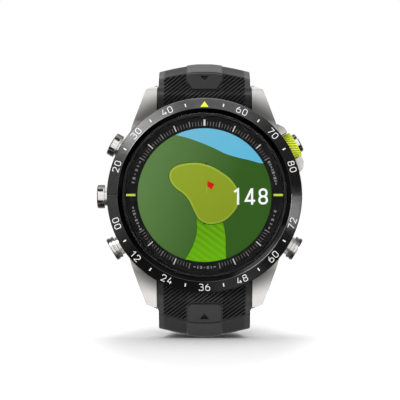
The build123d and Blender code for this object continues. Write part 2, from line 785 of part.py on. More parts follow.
def head_parts():
    """Every fixed piece of the head and the five pushers, in the dial frame."""
    made = {
        "mid_case": mid_case(),
        "bezel_ring": bezel_ring(),
        "bezel_gasket": ring(19.56, 19.24, 10.6, 11.2),
        "lens": lens(),
        "lens_gasket": ring(LENS_R, 18.7, 12.52, LENS_BASE - 0.02),
        "index_ring": ring(18.5, 15.75, 12.2, 12.7),
        "display_panel": disc(17.6, 10.9, 12.15),
        "display_frame": display_frame(),
        "display_flex": display_flex(),
        "antenna_ring": ring(17.2, 16.4, 10.02, 10.24),
        "inner_chassis": inner_chassis(),
        "chassis_screws": chassis_screws(),
        "main_board": main_board(),
        "shield_cans": shield_cans(),
        "board_chips": board_chips(),
        "battery": battery(),
        "vibration_motor": vibration_motor(),
        "buzzer": slab(3.0, 7.5, 3.8, 6.6, (-13.2, 0)),
        "rear_cover": rear_cover(),
        "rear_gasket": ring(18.45, 17.85, COVER_INNER, 2.43),
        "rear_cover_screws": cover_screws(),
        "sensor_window": chamfer(disc(9.0, 0, 0.94).edges().group_by(Axis.Z)[0], 0.25),
        "sensor_board": disc(8.0, 1.56, 2.2),
        "sensor_leds": sensor_leds(),
        "charging_port": charging_port(),
        "charging_contacts": charging_contacts(),
        "vent_membrane": disc(1.5, 1.15, 1.38, VENT_AT),
        "button_tubes": [tube(name) for name in BUTTONS],
        "button_seals": [seal(name) for name in BUTTONS],
        "button_switches": button_switches(),
        "start_sleeve": start_sleeve(),
        "lug_bars": lug_bars(),
    }
    for name in BUTTONS:
        made[name + "_pusher"] = pusher(name)
        made[name + "_clip"] = clip(name)
        made[name + "_spring"] = spring(name)
    return made


def strap_parts():
    """Every piece of the two strap halves, in the row frame."""
    return {
        "strap_upper": strap_upper(),
        "upper_hook": hook(),
        "upper_latch": latch(),
        "upper_latch_spring": latch_spring(),
        "buckle_bar": buckle_bar(),
        "buckle_frame": buckle_frame(),
        "buckle_tongue": buckle_tongue(),
        "fixed_keeper": keeper(FIXED_KEEPER_AT),
        "free_keeper": keeper(FREE_KEEPER_AT),
        "strap_lower": strap_lower(),
        "lower_hook": mirror(hook(), Plane.XY),
        "lower_latch": mirror(latch(), Plane.XY),
        "lower_latch_spring": mirror(latch_spring(), Plane.XY),
    }


def write(name, shape):
    """One STEP file per node; a list becomes one file of separate solids."""
    solids = shape if isinstance(shape, list) else [shape]
    bodies = [solid for piece in solids for solid in piece.solids()]
    export_step(Compound(children=bodies) if len(bodies) > 1 else bodies[0], f"parts/{name}.step")


def main():
    os.makedirs("parts", exist_ok=True)
    for name, shape in head_parts().items():
        pieces = shape if isinstance(shape, list) else [shape]
        write(name, [DIAL * piece for piece in pieces])
    for name, shape in strap_parts().items():
        write(name, shape)


main()
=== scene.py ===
"""Looks of the golf watch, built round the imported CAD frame. Millimetres inside, metres in Blender.

Row frame: +Z is 12 o'clock, +X is 3 o'clock, the dial faces -Y.
Dial frame (x, y, z): x and y across the dial, z out of it, so a dial point is row point (x, -z, y).
"""
import json
import math

import bmesh
import bpy
import numpy as np
from mathutils import Matrix, Vector
from mathutils.geometry import tessellate_polygon

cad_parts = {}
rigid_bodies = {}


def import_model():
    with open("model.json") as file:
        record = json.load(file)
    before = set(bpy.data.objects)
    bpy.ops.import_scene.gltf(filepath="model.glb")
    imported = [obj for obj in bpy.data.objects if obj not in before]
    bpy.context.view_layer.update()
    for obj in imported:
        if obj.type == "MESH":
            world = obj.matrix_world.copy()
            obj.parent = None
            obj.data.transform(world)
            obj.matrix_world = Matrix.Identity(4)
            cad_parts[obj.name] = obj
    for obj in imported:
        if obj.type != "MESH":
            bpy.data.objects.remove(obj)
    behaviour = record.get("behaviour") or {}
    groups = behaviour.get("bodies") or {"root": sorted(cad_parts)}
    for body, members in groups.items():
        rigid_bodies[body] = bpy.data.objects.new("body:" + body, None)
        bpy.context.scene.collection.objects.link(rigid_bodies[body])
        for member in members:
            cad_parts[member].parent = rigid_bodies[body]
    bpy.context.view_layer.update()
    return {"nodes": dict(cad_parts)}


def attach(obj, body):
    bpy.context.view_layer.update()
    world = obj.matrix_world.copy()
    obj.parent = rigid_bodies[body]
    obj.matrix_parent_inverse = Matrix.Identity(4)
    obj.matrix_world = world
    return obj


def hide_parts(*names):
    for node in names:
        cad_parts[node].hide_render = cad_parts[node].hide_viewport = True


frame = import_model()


MM = 0.001
NODES = frame["nodes"]
SCENE = bpy.context.scene

# ------------------------------------------------------------ sizes shared with the CAD, mm

PIN = (-5.0, 24.2)
SLOPE = math.atan2(6.05, 4.8)
ALONG = (math.cos(SLOPE), math.sin(SLOPE))
OUT = (-math.sin(SLOPE), math.cos(SLOPE))
BEZEL_CREST = (20.45, 14.3)
BEZEL_FOOT = (22.8, 13.0)
RING_TOP = 12.7
PANEL_TOP = 12.15
PICTURE_R = 15.72
START_ANGLE = math.radians(30)
BUTTON_Z = 7.0
WARM = (1.0, 0.975, 0.94)

# ------------------------------------------------------------ materials


def tone(value, tint=(1, 1, 1)):
    """A linear grey, tinted."""
    return (value * tint[0], value * tint[1], value * tint[2], 1.0)


def srgb(r, g, b):
    """Linear colour of an 8-bit screen colour."""
    shares = [c / 255 for c in (r, g, b)]
    return tuple(s / 12.92 if s < 0.0405 else ((s + 0.055) / 1.055) ** 2.4 for s in shares) + (1.0,)


def feed(tree, slot, value):
    """Links a socket to the slot, or sets the slot to a value."""
    if isinstance(value, bpy.types.NodeSocket):
        tree.links.new(value, slot)
    else:
        slot.default_value = value


class Tree:
    """Short hand for a node tree. An input goes by its label, or by the letter i and its number."""

    def __init__(self, tree):
        self.tree = tree

    def node(self, kind, props=None, **inputs):
        made = self.tree.nodes.new("ShaderNode" + kind)
        for key, value in (props or {}).items():
            setattr(made, key, value)
        for key, value in inputs.items():
            numbered = key[0] == "i" and key[1:].isdigit()
            feed(self.tree, made.inputs[int(key[1:]) if numbered else key.replace("_", " ")], value)
        return made

    def math(self, operation, a, b=0.0, c=0.0, clamp=False):
        return self.node("Math", {"operation": operation, "use_clamp": clamp}, i0=a, i1=b, i2=c).outputs[0]

    def times(self, a, b):
        return self.math("MULTIPLY", a, b)

    def weighted(self, a, share_a, b, share_b):
        return self.math("MULTIPLY_ADD", a, share_a, self.times(b, share_b))

    def hypot(self, a, b):
        return self.math("SQRT", self.math("ADD", self.times(a, a), self.times(b, b)))

    def dot(self, a, b):
        return self.node("VectorMath", {"operation": "DOT_PRODUCT"}, i0=a, i1=b).outputs["Value"]

    def mix(self, share, a, b):
        return self.node("Mix", {"data_type": "RGBA"}, i0=share, i6=a, i7=b).outputs[2]

    def spread(self, value, low, high, to_low=0.0, to_high=1.0, kind="LINEAR"):
        """Carries the span from low to high over to the span from to_low to to_high, with clamped ends."""
        return self.node("MapRange", {"interpolation_type": kind}, Value=value, From_Min=low, From_Max=high,
                         To_Min=to_low, To_Max=to_high).outputs["Result"]


class Graph(Tree):
    """One material's node tree. Its keyword values are the shader's uniform values."""

    def __init__(self, name, **sockets):
        self.material = bpy.data.materials.new(name)
        self.material.use_nodes = True
        super().__init__(self.material.node_tree)
        self.shader = self.tree.nodes["Principled BSDF"]
        for key, value in sockets.items():
            self.link(value, key.replace("_", " "))

    def place(self, scale=(1, 1, 1)):
        """Object coordinates in millimetres, stretched."""
        at = self.node("TexCoord").outputs["Object"]
        return self.node("Mapping", Vector=at, Scale=tuple(1000 * s for s in scale)).outputs[0]

    def axes(self):
        return self.node("SeparateXYZ", Vector=self.place()).outputs

    def noise(self, at, scale, detail=2.0, rough=0.5):
        return self.node("TexNoise", Vector=at, Scale=scale, Detail=detail, Roughness=rough).outputs["Fac"]

    def soft(self, radius):
        """Normal that rounds off the edges."""
        return self.node("Bevel", {"samples": 4}, Radius=radius * MM).outputs[0]

    def worn(self, colour, wear, radius):
        """The colour, worn where the edges are rounded off, and the normal that rounds them off."""
        soft = self.soft(radius)
        same = self.dot(soft, self.node("NewGeometry").outputs["Normal"])
        return self.mix(self.spread(same, 0.99, 0.8, 0.0, 0.7), colour, wear), soft

    def bump(self, height, depth, normal=None):
        made = self.node("Bump", Strength=1.0, Distance=depth * MM, Height=height)
        if normal is not None:
            feed(self.tree, made.inputs["Normal"], normal)
        return made.outputs[0]

    def link(self, value, name):
        feed(self.tree, self.shader.inputs[name], value)

    def finish(self, colour, rough, normal):
        self.link(colour, "Base Color")
        self.link(rough, "Roughness")
        self.link(normal, "Normal")
        return self.material


def surface(name, dark, light, rough=(0.3, 0.45), grain=8.0, stretch=(1, 1, 1), depth=0.004, edge=0.0,
            wear=None, cloud=0.6, **sockets):
    """Fine grain and broad clouding in colour, roughness and bump, with softened, lighter edges."""
    g = Graph(name, **sockets)
    fine, broad = g.noise(g.place(stretch), grain, 3.0), g.noise(g.place(), cloud)
    colour = g.mix(g.spread(g.weighted(broad, 0.55, fine, 0.45), 0.36, 0.64), dark, light)
    normal = None
    if wear:
        colour, normal = g.worn(colour, wear, edge)
    elif edge:
        normal = g.soft(edge)
    return g.finish(colour, g.spread(g.weighted(fine, 0.7, broad, 0.3), 0.3, 0.7, *rough),
                    g.bump(fine, depth, normal))


def bezel_material():
    """Dark coated band, brushed round the axis, with a polished inner chamfer and a painted highlight along its
    crest.
    """
    g = Graph("bezel_brushed", Metallic=1.0, Anisotropic=0.95, Anisotropic_Rotation=0.25)
    x, _, z = g.axes()
    radius = g.hypot(x, z)
    turned_x, turned_z = (g.times(g.math("DIVIDE", value, radius), 6.0) for value in (x, z))
    lanes = g.node("CombineXYZ", X=g.times(radius, 9.0), Y=turned_x, Z=turned_z).outputs[0]
    brushed = g.noise(lanes, 1.0, 4.0, 0.65)
    band = g.spread(radius, BEZEL_CREST[0] + 0.02, BEZEL_CREST[0] + 0.1)
    # painted highlight: a bright line along the crest
    from_crest = g.math("ABSOLUTE", g.math("SUBTRACT", radius, BEZEL_CREST[0]))
    crest_highlight = g.math("SUBTRACT", 1.0, g.math("DIVIDE", from_crest, 0.11), clamp=True)
    grain = g.spread(g.weighted(g.noise(g.place(), 0.35), 0.5, brushed, 0.5), 0.3, 0.7)
    coat = g.mix(grain, tone(0.105, (1.0, 1.0, 1.02)), tone(0.17, (1.0, 0.99, 0.97)))
    colour = g.mix(g.times(crest_highlight, 0.8), g.mix(band, tone(0.012), coat), tone(0.3))
    chamfer_rough = 0.09
    band_rough = g.spread(brushed, 0.3, 0.7, 0.25, 0.36)
    rough = g.math("ADD", chamfer_rough, g.times(band, g.math("SUBTRACT", band_rough, chamfer_rough)))
    g.link(g.node("Tangent", {"direction_type": "RADIAL", "axis": "Y"}).outputs[0], "Tangent")
    return g.finish(colour, rough, g.bump(g.times(brushed, band), 0.006, g.soft(0.08)))


def clear_material(name, scale, low, high, **sockets):
    """Clear or smoked glass; its faint clouding only touches the colour, so it stays clear."""
    g = Graph(name, **sockets)
    g.link(g.mix(g.spread(g.noise(g.place(), scale, 3.0), 0.3, 0.7), low, high), "Base Color")
    return g.material


SCREEN = {"Base_Color": tone(0.003), "Roughness": 0.4, "Specular_IOR_Level": 0.1, "Emission_Strength": 1.07}
SCREEN_GRAIN = 0.03


def glow_material(name, low, high, slope=(1, 0), span=(-16, 16)):
    """Lit display area: a gradient across the dial with a faint pixel grain."""
    g = Graph(name, **SCREEN)
    x, _, z = g.axes()
    share = g.spread(g.weighted(x, slope[0], z, slope[1]), *span, -2 * SCREEN_GRAIN, 1 - 2 * SCREEN_GRAIN)
    grain = g.noise(g.place(), 6.0, 1.0)
    g.link(g.mix(g.math("MULTIPLY_ADD", grain, 4 * SCREEN_GRAIN, share, clamp=True), low, high),
           "Emission Color")
    return g.material


def fairway_material():
    """Mown fairway on the display: slanting light and dark stripes."""
    g = Graph("screen_stripes", **SCREEN)
    x, _, z = g.axes()
    lean, pitch = math.radians(36), 1.35
    across = g.weighted(x, math.sin(lean), z, math.cos(lean))
    wave = g.math("SINE", g.times(across, 2 * math.pi / pitch))
    stripes = g.mix(g.spread(wave, -0.25, 0.35), srgb(88, 148, 0), srgb(104, 168, 2))
    g.link(g.mix(g.spread(z, -6.0, -15.0), stripes, g.mix(0.5, stripes, srgb(112, 190, 6))), "Emission Color")
    return g.material


def case_material():
    """Blasted titanium, with painted shade and dark reflection where the lugs run in under the bezel, and a
    painted dark reflection on the flats of their tips.
    """
    g = Graph("titanium_blasted", Metallic=1.0)
    fine, broad = g.noise(g.place(), 26, 3.0), g.noise(g.place(), 0.6)
    x, _, z = g.axes()
    high = g.math("ABSOLUTE", z)
    radius = g.math("MULTIPLY_ADD", g.math("SIGN", z), -0.6, g.hypot(x, z))
    # painted shade and dark reflection on the lugs close to the bezel
    under = g.times(g.spread(high, 14.5, 18.0), g.spread(radius, 22.9, 27.8, 1.0, 0.0, "SMOOTHSTEP"))
    colour = g.mix(g.spread(g.weighted(broad, 0.15, fine, 0.85), 0.36, 0.64), tone(0.55, WARM),
                   tone(0.63, WARM))
    colour, soft = g.worn(colour, tone(0.8, WARM), 0.16)
    # painted dark reflection on the flat faces of the lug tips
    facing = g.node("SeparateXYZ", Vector=g.node("NewGeometry").outputs["Normal"]).outputs[2]
    tip = g.times(g.spread(g.math("ABSOLUTE", facing), 0.8, 0.86), g.spread(high, 22.5, 23.0))
    shaded = g.math("MAXIMUM", g.times(under, 0.9), g.times(tip, 0.85))
    colour = g.mix(shaded, colour, tone(0.06, WARM))
    return g.finish(colour, g.spread(fine, 0.3, 0.7, 0.34, 0.4), g.bump(fine, 0.002, soft))


def pusher_material(name, notch_r, top, fluted=True):
    """Turned steel cap, with painted shade in its notches and towards the ends of its flank."""
    g = Graph(name, Metallic=1.0)
    fine = g.noise(g.place(), 12, 3.0)
    x, y, z = g.axes()
    wide, high = g.math("ABSOLUTE", x), g.math("ABSOLUTE", z)
    # one pusher lies level, the other four lean by the start pusher's angle
    level = g.math("LESS_THAN", high, 6.5)
    lean = g.weighted(high, math.cos(START_ANGLE), wide, -math.sin(START_ANGLE))
    reach = g.weighted(high, math.sin(START_ANGLE), wide, math.cos(START_ANGLE))
    across = g.math("MULTIPLY_ADD", level, g.math("SUBTRACT", high, lean), lean)
    along = g.math("MULTIPLY_ADD", level, g.math("SUBTRACT", wide, reach), reach)
    # painted shade: dark in the notches and towards the ends of the flank, with a lighter line through the end
    # shade
    notch = g.spread(g.hypot(across, g.math("ADD", y, BUTTON_Z)), notch_r, notch_r + 0.1, 1.0, 0.0)
    off = g.math("ABSOLUTE", across)
    stripe = g.spread(g.math("ABSOLUTE", g.math("SUBTRACT", off, notch_r - 0.52)), 0.1, 0.16)
    end = g.times(g.spread(off, notch_r - 0.86, notch_r - 0.78), g.math("MULTIPLY_ADD", stripe, 0.45, 0.55))
    if not fluted:
        notch, end = 0.0, g.spread(off, 0.9, 2.5)
    flank = g.spread(along, top - 0.12, top - 0.05, 1.0, 0.0)
    dark = g.times(g.math("MAXIMUM", g.times(notch, 0.93), g.times(end, 0.86)), flank)
    colour = g.mix(dark, g.mix(g.spread(fine, 0.36, 0.64), tone(0.7, WARM), tone(0.8, WARM)), tone(0.02))
    return g.finish(colour, g.spread(fine, 0.3, 0.7, 0.24, 0.3), g.bump(fine, 0.0006, g.soft(0.08)))


def strap_material(name, low, high, face_share, beside_share):
    """Moulded rubber, duller and with painted shade on its front face and beside its middle block by the two
    shares.
    """
    g = Graph(name, Sheen_Weight=0.06)
    fine = g.noise(g.place(), 9, 3.0)
    x, y, _ = g.axes()
    wide = g.math("ABSOLUTE", x)
    face = g.spread(y, -4.9, -4.3, 1.0, 0.0)
    beside = g.times(g.spread(wide, 4.25, 4.45), g.spread(wide, 9.4, 10.0, 1.0, 0.0))
    dull_and_shaded = g.math("MAXIMUM", g.times(face, face_share), g.times(beside, beside_share))
    dull_and_shaded = g.times(dull_and_shaded, g.spread(y, 8.0, 14.0, 1.0, 0.0))
    colour, soft = g.worn(g.mix(g.spread(fine, 0.36, 0.64), tone(low), tone(high)), tone(0.06), 0.12)
    g.link(g.math("MULTIPLY_ADD", dull_and_shaded, -0.42, 0.42), "Specular IOR Level")
    # painted shade: the colour darkens with the same mask
    colour = g.mix(g.times(dull_and_shaded, 0.8), colour, tone(0.008))
    return g.finish(colour, g.spread(fine, 0.3, 0.7, 0.46, 0.6), g.bump(fine, 0.012, soft))


def sleeve_material():
    """Lime anodising, with painted shade in the valleys between the ridges."""
    g = Graph("lime_anodised", Metallic=0.2)
    fine = g.noise(g.place(), 14, 3.0)
    x, y, z = g.axes()
    across = g.weighted(z, math.cos(START_ANGLE), x, -math.sin(START_ANGLE))
    # painted shade: darker towards the bottom of each valley
    height = g.spread(g.hypot(across, g.math("ADD", y, BUTTON_Z)), 2.9, 3.12)
    ridge = g.mix(g.spread(fine, 0.35, 0.65), (0.70, 0.82, 0.035, 1), (0.80, 0.90, 0.06, 1))
    colour = g.mix(height, (0.34, 0.42, 0.006, 1), ridge)
    return g.finish(colour, g.spread(fine, 0.3, 0.7, 0.34, 0.44), g.bump(fine, 0.002))


M = {
    "titanium": case_material(),
    "back_titanium": surface("titanium_back", tone(0.34, WARM), tone(0.46, WARM), (0.3, 0.42), 14, (1, 1, 0.08),
                             depth=0.003, edge=0.12, wear=tone(0.7, WARM), Metallic=1.0),
    "pusher": surface("pusher_steel", tone(0.7, WARM), tone(0.8, WARM), (0.24, 0.3), 12, depth=0.0006,
                      edge=0.08, wear=tone(0.9), Metallic=1.0),
    "cap": pusher_material("pusher_cap", 2.62, 25.5),
    "smooth_cap": pusher_material("smooth_pusher_cap", 2.7, 25.5, False),
    "start_cap": pusher_material("start_pusher_cap", 2.1, 26.1),
    "steel": surface("brushed_steel", tone(0.5), tone(0.62), (0.22, 0.34), 14, (0.05, 1, 1), depth=0.003,
                     edge=0.1, wear=tone(0.8), Metallic=1.0),
    "buckle": surface("buckle_brushed", tone(0.46, WARM), tone(0.58, WARM), (0.24, 0.36), 16, (0.06, 1, 1),
                      depth=0.004, edge=0.14, wear=tone(0.8, WARM), Metallic=1.0),
    "spring": surface("spring_wire", tone(0.4), tone(0.55), (0.2, 0.3), 10, depth=0.001, Metallic=1.0),
    "lime": sleeve_material(),
    "rubber": strap_material("strap_rubber", 0.023, 0.031, 0.62, 0.8),
    "tail_rubber": strap_material("tail_rubber", 0.025, 0.033, 0.0, 0.5),
    "rubber_gloss": surface("loop_rubber", tone(0.022), tone(0.03), (0.4, 0.52), 9, depth=0.008, edge=0.2,
                            wear=tone(0.05), Specular_IOR_Level=0.45),
    # near-black rubber for the grooves and the pointer: painted shade in recesses
    "shaded_recess": surface("recess_painted_shade", tone(0.006), tone(0.01), (0.5, 0.6), 9, depth=0.004,
                     Specular_IOR_Level=0.12),
    "gasket": surface("seal_rubber", tone(0.012), tone(0.02), (0.4, 0.55), 8, depth=0.003),
    "ring": surface("dial_ring_black", tone(0.009), tone(0.013), (0.5, 0.6), 10, depth=0.003, cloud=0.4,
                    Specular_IOR_Level=0.12),
    "panel": surface("panel_black", tone(0.004), tone(0.008), (0.2, 0.3), 6, depth=0.001),
    "tray": surface("moulded_tray", tone(0.03), tone(0.045), (0.45, 0.6), 7, depth=0.006, edge=0.1),
    "board": surface("board_solder_mask", (0.008, 0.05, 0.025, 1), (0.012, 0.09, 0.04, 1), (0.35, 0.5), 5,
                     depth=0.004),
    "chip": surface("chip_epoxy", tone(0.012), tone(0.022), (0.5, 0.62), 12, depth=0.003, edge=0.05),
    "can": surface("shield_can_tin", tone(0.55), tone(0.68), (0.25, 0.35), 6, (1, 0.1, 1), depth=0.002,
                   edge=0.08, Metallic=1.0),
    "cell": surface("battery_foil", tone(0.5, (0.92, 0.96, 1)), tone(0.62, (0.92, 0.96, 1)), (0.3, 0.42), 3,
                    depth=0.01, Metallic=0.85),
    "flex": surface("flex_film", (0.42, 0.2, 0.04, 1), (0.55, 0.28, 0.07, 1), (0.3, 0.4), 6, (1, 0.1, 1),
                    depth=0.002),
    "led": surface("emitter_lens", (0.2, 0.62, 0.3, 1), (0.5, 0.85, 0.5, 1), (0.12, 0.2), 6, depth=0.001),
    "gold": surface("contact_gold", (0.75, 0.5, 0.16, 1), (0.9, 0.64, 0.25, 1), (0.16, 0.26), 12, depth=0.001,
                    Metallic=1.0),
    "port": surface("port_plastic", tone(0.012), tone(0.02), (0.38, 0.5), 9, depth=0.004, edge=0.06),
    "membrane": surface("vent_fabric", tone(0.3), tone(0.42), (0.6, 0.75), 22, depth=0.006),
    # white paint with a faint glow: painted light
    "paint": surface("dial_paint", tone(0.78), tone(0.88), (0.4, 0.5), 12, depth=0.001, Emission_Color=tone(1),
                     Emission_Strength=0.14),
    "dim_paint": surface("minor_paint", (0.17, 0.145, 0.13, 1), (0.24, 0.2, 0.185, 1), (0.45, 0.55), 12,
                         depth=0.001),
    "mid_paint": surface("middle_paint", tone(0.33), tone(0.43), (0.45, 0.55), 12, depth=0.001),
    # lime paint with a faint glow: painted light
    "lime_paint": surface("lime_paint", (0.72, 0.86, 0.03, 1), (0.8, 0.93, 0.05, 1), (0.4, 0.5), 12,
                          depth=0.001, Emission_Color=(0.7, 0.92, 0.08, 1), Emission_Strength=0.25),
    "bezel": bezel_material(),
    "glass": clear_material("sapphire", 0.25, (1, 1, 1, 1), (0.97, 0.985, 0.99, 1), Roughness=0.0, IOR=1.6,
                            Transmission_Weight=1.0),
    "window": clear_material("smoked_window", 0.8, (0.12, 0.12, 0.13, 1), (0.2, 0.2, 0.21, 1), Roughness=0.03,
                             IOR=1.5, Transmission_Weight=0.9),
    "turf": glow_material("screen_turf", srgb(93, 128, 70), srgb(48, 90, 24), (0.9, -0.35), (-14, 6)),
    "water": glow_material("screen_water", srgb(116, 190, 218), srgb(92, 186, 222), (0.8, -0.6), (-16, 8)),
    "green": glow_material("screen_green", srgb(146, 166, 40), srgb(134, 152, 28), (0.5, -0.8), (-9, 9)),
    "green_light": glow_material("screen_green_edge", srgb(166, 186, 62), srgb(140, 164, 40), (0.5, -0.8),
                                 (-9, 9)),
    "green_dark": glow_material("screen_green_rim", srgb(64, 96, 24), srgb(48, 82, 20), (0.5, -0.8), (-9, 9)),
    "fairway": fairway_material(),
    "fairway_edge": glow_material("screen_fairway_edge", srgb(52, 110, 14), srgb(44, 96, 14)),
    "red": glow_material("screen_red", srgb(224, 22, 12), srgb(200, 10, 8), (1, 0), (0, 2.5)),
    "white": glow_material("screen_white", srgb(250, 250, 250), srgb(255, 255, 255)),
    "pole": glow_material("screen_pole", srgb(176, 186, 110), srgb(168, 178, 96)),
    "ink": glow_material("screen_ink", srgb(20, 40, 8), srgb(30, 50, 12)),
}

CAD_LOOKS = {
    "titanium": "mid_case",
    "bezel": "bezel_ring",
    "back_titanium": "rear_cover",
    "cap": "light_pusher up_pusher",
    "start_cap": "start_pusher",
    "pusher": "button_tubes",
    "steel": "lug_bars buckle_bar rear_cover_screws chassis_screws upper_hook lower_hook upper_latch lower_latch "
             "light_clip up_clip down_clip start_clip back_clip",
    "buckle": "buckle_frame buckle_tongue",
    "spring": "light_spring up_spring down_spring start_spring back_spring upper_latch_spring lower_latch_spring",
    "gasket": "bezel_gasket lens_gasket rear_gasket button_seals",
    "ring": "index_ring",
    "panel": "display_panel",
    "tray": "inner_chassis display_frame",
    "board": "main_board sensor_board",
    "chip": "board_chips button_switches buzzer",
    "can": "shield_cans vibration_motor",
    "cell": "battery",
    "flex": "display_flex antenna_ring",
    "led": "sensor_leds",
    "gold": "charging_contacts",
    "port": "charging_port",
    "membrane": "vent_membrane",
    "window": "sensor_window",
}


def shade(mesh, angle=30):
    mesh.shade_smooth()
    mesh.set_sharp_from_angle(angle=math.radians(angle))


for look, names in CAD_LOOKS.items():
    for name in names.split():
        node = NODES[name]
        node.data.materials.clear()
        node.data.materials.append(M[look])
NODES["sensor_window"].visible_shadow = False

# ------------------------------------------------------------ mesh helpers


class Solid:
    """Closed solids collected into one mesh, in millimetres of the row frame."""

    def __init__(self):
        self.points, self.faces, self.looks = [], [], []

    def add(self, points, faces, look=0):
        start = len(self.points)
        self.points += [tuple(p) for p in points]
        self.faces += [tuple(start + k for k in face) for face in faces]
        self.looks += [look] * len(faces)

    def plate(self, outline, low, high, height=None, look=0):
        """Closed prism over a dial outline; height(x, y) lifts it on to a curved surface."""
        outline = list(outline)
        area = sum(a[0] * b[1] - b[0] * a[1] for a, b in zip(outline, outline[1:] + outline[:1]))
        if area < 0:
            outline.reverse()
        count = len(outline)
        rise = height or (lambda x, y: 0.0)
        points = [dial(x, y, rise(x, y) + level) for level in (high, low) for x, y in outline]
        triangles = tessellate_polygon([[Vector((x, y, 0)) for x, y in outline]])
        faces = []
        for a, b, c in triangles:
            turn = ((outline[b][0] - outline[a][0]) * (outline[c][1] - outline[a][1])
                    - (outline[c][0] - outline[a][0]) * (outline[b][1] - outline[a][1]))
            if turn < 0:
                b, c = c, b
            faces += [(a, b, c), (count + c, count + b, count + a)]
        faces += [(k, count + k, count + (k + 1) % count, (k + 1) % count) for k in range(count)]
        self.add(points, faces, look)

    def stroke(self, line, width, closed, low, high, height=None, look=0):
        """Closed raised stroke of even width along a dial line."""
        rise = height or (lambda x, y: 0.0)
        line = [Vector(p) for p in line]
        count = len(line)
        sides = []
        for k in range(count):
            before = line[k] - line[k - 1] if (k or closed) else line[1] - line[0]
            after = line[(k + 1) % count] - line[k] if (k < count - 1 or closed) else line[-1] - line[-2]
            before.normalize(), after.normalize()
            middle = (before + after).normalized()
            reach = width / 2 / max(0.5, middle.dot(after))
            across = Vector((-middle.y, middle.x)) * reach
            sides.append((line[k] + across, line[k] - across))
        points = []
        for left, right in sides:
            for z in (high, low):
                for p in (left, right):
                    points.append(dial(p.x, p.y, rise(p.x, p.y) + z))
        faces = []
        for k in range(count if closed else count - 1):
            a, b = 4 * k, 4 * ((k + 1) % count)
            faces += [(a, a + 1, b + 1, b), (a + 2, b + 2, b + 3, a + 3), (a, b, b + 2, a + 2),
                      (a + 1, a + 3, b + 3, b + 1)]
        if not closed:
            last = 4 * (count - 1)
            faces += [(0, 2, 3, 1), (last, last + 1, last + 3, last + 2)]
        self.add(points, faces, look)

    def rings(self, rows, poles=()):
        """Skin over rows of points, each a closed ring: closed by two poles, or back to the first row."""
        count, last = len(rows[0]), len(rows) - 1
        around = [(k, (k + 1) % count) for k in range(count)]
        steps = [(j * count, (j + 1) % len(rows) * count) for j in range(last if poles else len(rows))]
        faces = [(a + k, a + m, b + m, b + k) for a, b in steps for k, m in around]
        if poles:
            first = len(rows) * count
            for k, m in around:
                faces += [(first, m, k), (first + 1, last * count + k, last * count + m)]
        self.add([p for row in rows for p in row] + list(poles), faces)
        return self

    def piece(self, name, body, slot, *looks, angle=30, replaces=()):
        made = scene_object(name, self.points, self.faces)
        made.data.polygons.foreach_set("material_index", self.looks)
        fix_normals(made.data)
        return hang(made, body, looks, angle, replaces)


def scene_object(name, points, faces):
    """Object with a mesh given in millimetres."""
    mesh = bpy.data.meshes.new(name)
    mesh.from_pydata([tuple(c * MM for c in point) for point in points], [], faces)
    made = bpy.data.objects.new(name, mesh)
    SCENE.collection.objects.link(made)
    return made


def fix_normals(mesh):
    work = bmesh.new()
    work.from_mesh(mesh)
    bmesh.ops.recalc_face_normals(work, faces=work.faces)
    work.to_mesh(mesh)
    work.free()
    mesh.update()


def hang(made, body, looks, angle=30, replaces=()):
    """Gives a finished object its materials, shading, body and what it stands for."""
    for look in looks:
        made.data.materials.append(M[look])
    shade(made.data, angle)
    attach(made, body)
    if replaces:
        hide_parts(*replaces)
    return made


def dial(x, y, z):
    return (x, -z, y)


def polar(radius, degrees):
    a = math.radians(degrees)
    return (radius * math.cos(a), radius * math.sin(a))


def cone(x, y):
    """Height of the bezel's sloping band."""
    share = (math.hypot(x, y) - BEZEL_CREST[0]) / (BEZEL_FOOT[0] - BEZEL_CREST[0])
    return BEZEL_CREST[1] + share * (BEZEL_FOOT[1] - BEZEL_CREST[1])


def tile(radius, degrees, long, wide):
    """Rectangle on the dial, long side along the radius."""
    a = math.radians(degrees)
    out, side = Vector((math.cos(a), math.sin(a))), Vector((-math.sin(a), math.cos(a)))
    ends = ((1, -1), (1, 1), (-1, 1), (-1, -1))
    return [tuple(out * (radius + i * long / 2) + side * (j * wide / 2)) for i, j in ends]


def rounded(points, radii, closed=False, steps=5):
    """Polyline with arcs at its corners."""
    count, line = len(points), []
    for k, point in enumerate(points):
        radius = radii[k] if isinstance(radii, (list, tuple)) else radii
        if not radius or (not closed and k in (0, count - 1)):
            line.append(tuple(point))
            continue
        here = Vector(point)
        back, ahead = Vector(points[k - 1]) - here, Vector(points[(k + 1) % count]) - here
        half = back.angle(ahead) / 2
        reach = min(radius / math.tan(half), 0.49 * back.length, 0.49 * ahead.length)
        true_radius = reach * math.tan(half)
        if math.pi - 2 * half < 0.02:
            line.append(tuple(point))
            continue
        start = here + back.normalized() * reach
        stop = here + ahead.normalized() * reach
        centre = here + (back.normalized() + ahead.normalized()).normalized() * (true_radius / math.sin(half))
        for step in range(steps + 1):
            arm = (start - centre).lerp(stop - centre, step / steps)
            line.append(tuple(centre + arm.normalized() * true_radius))
    return line


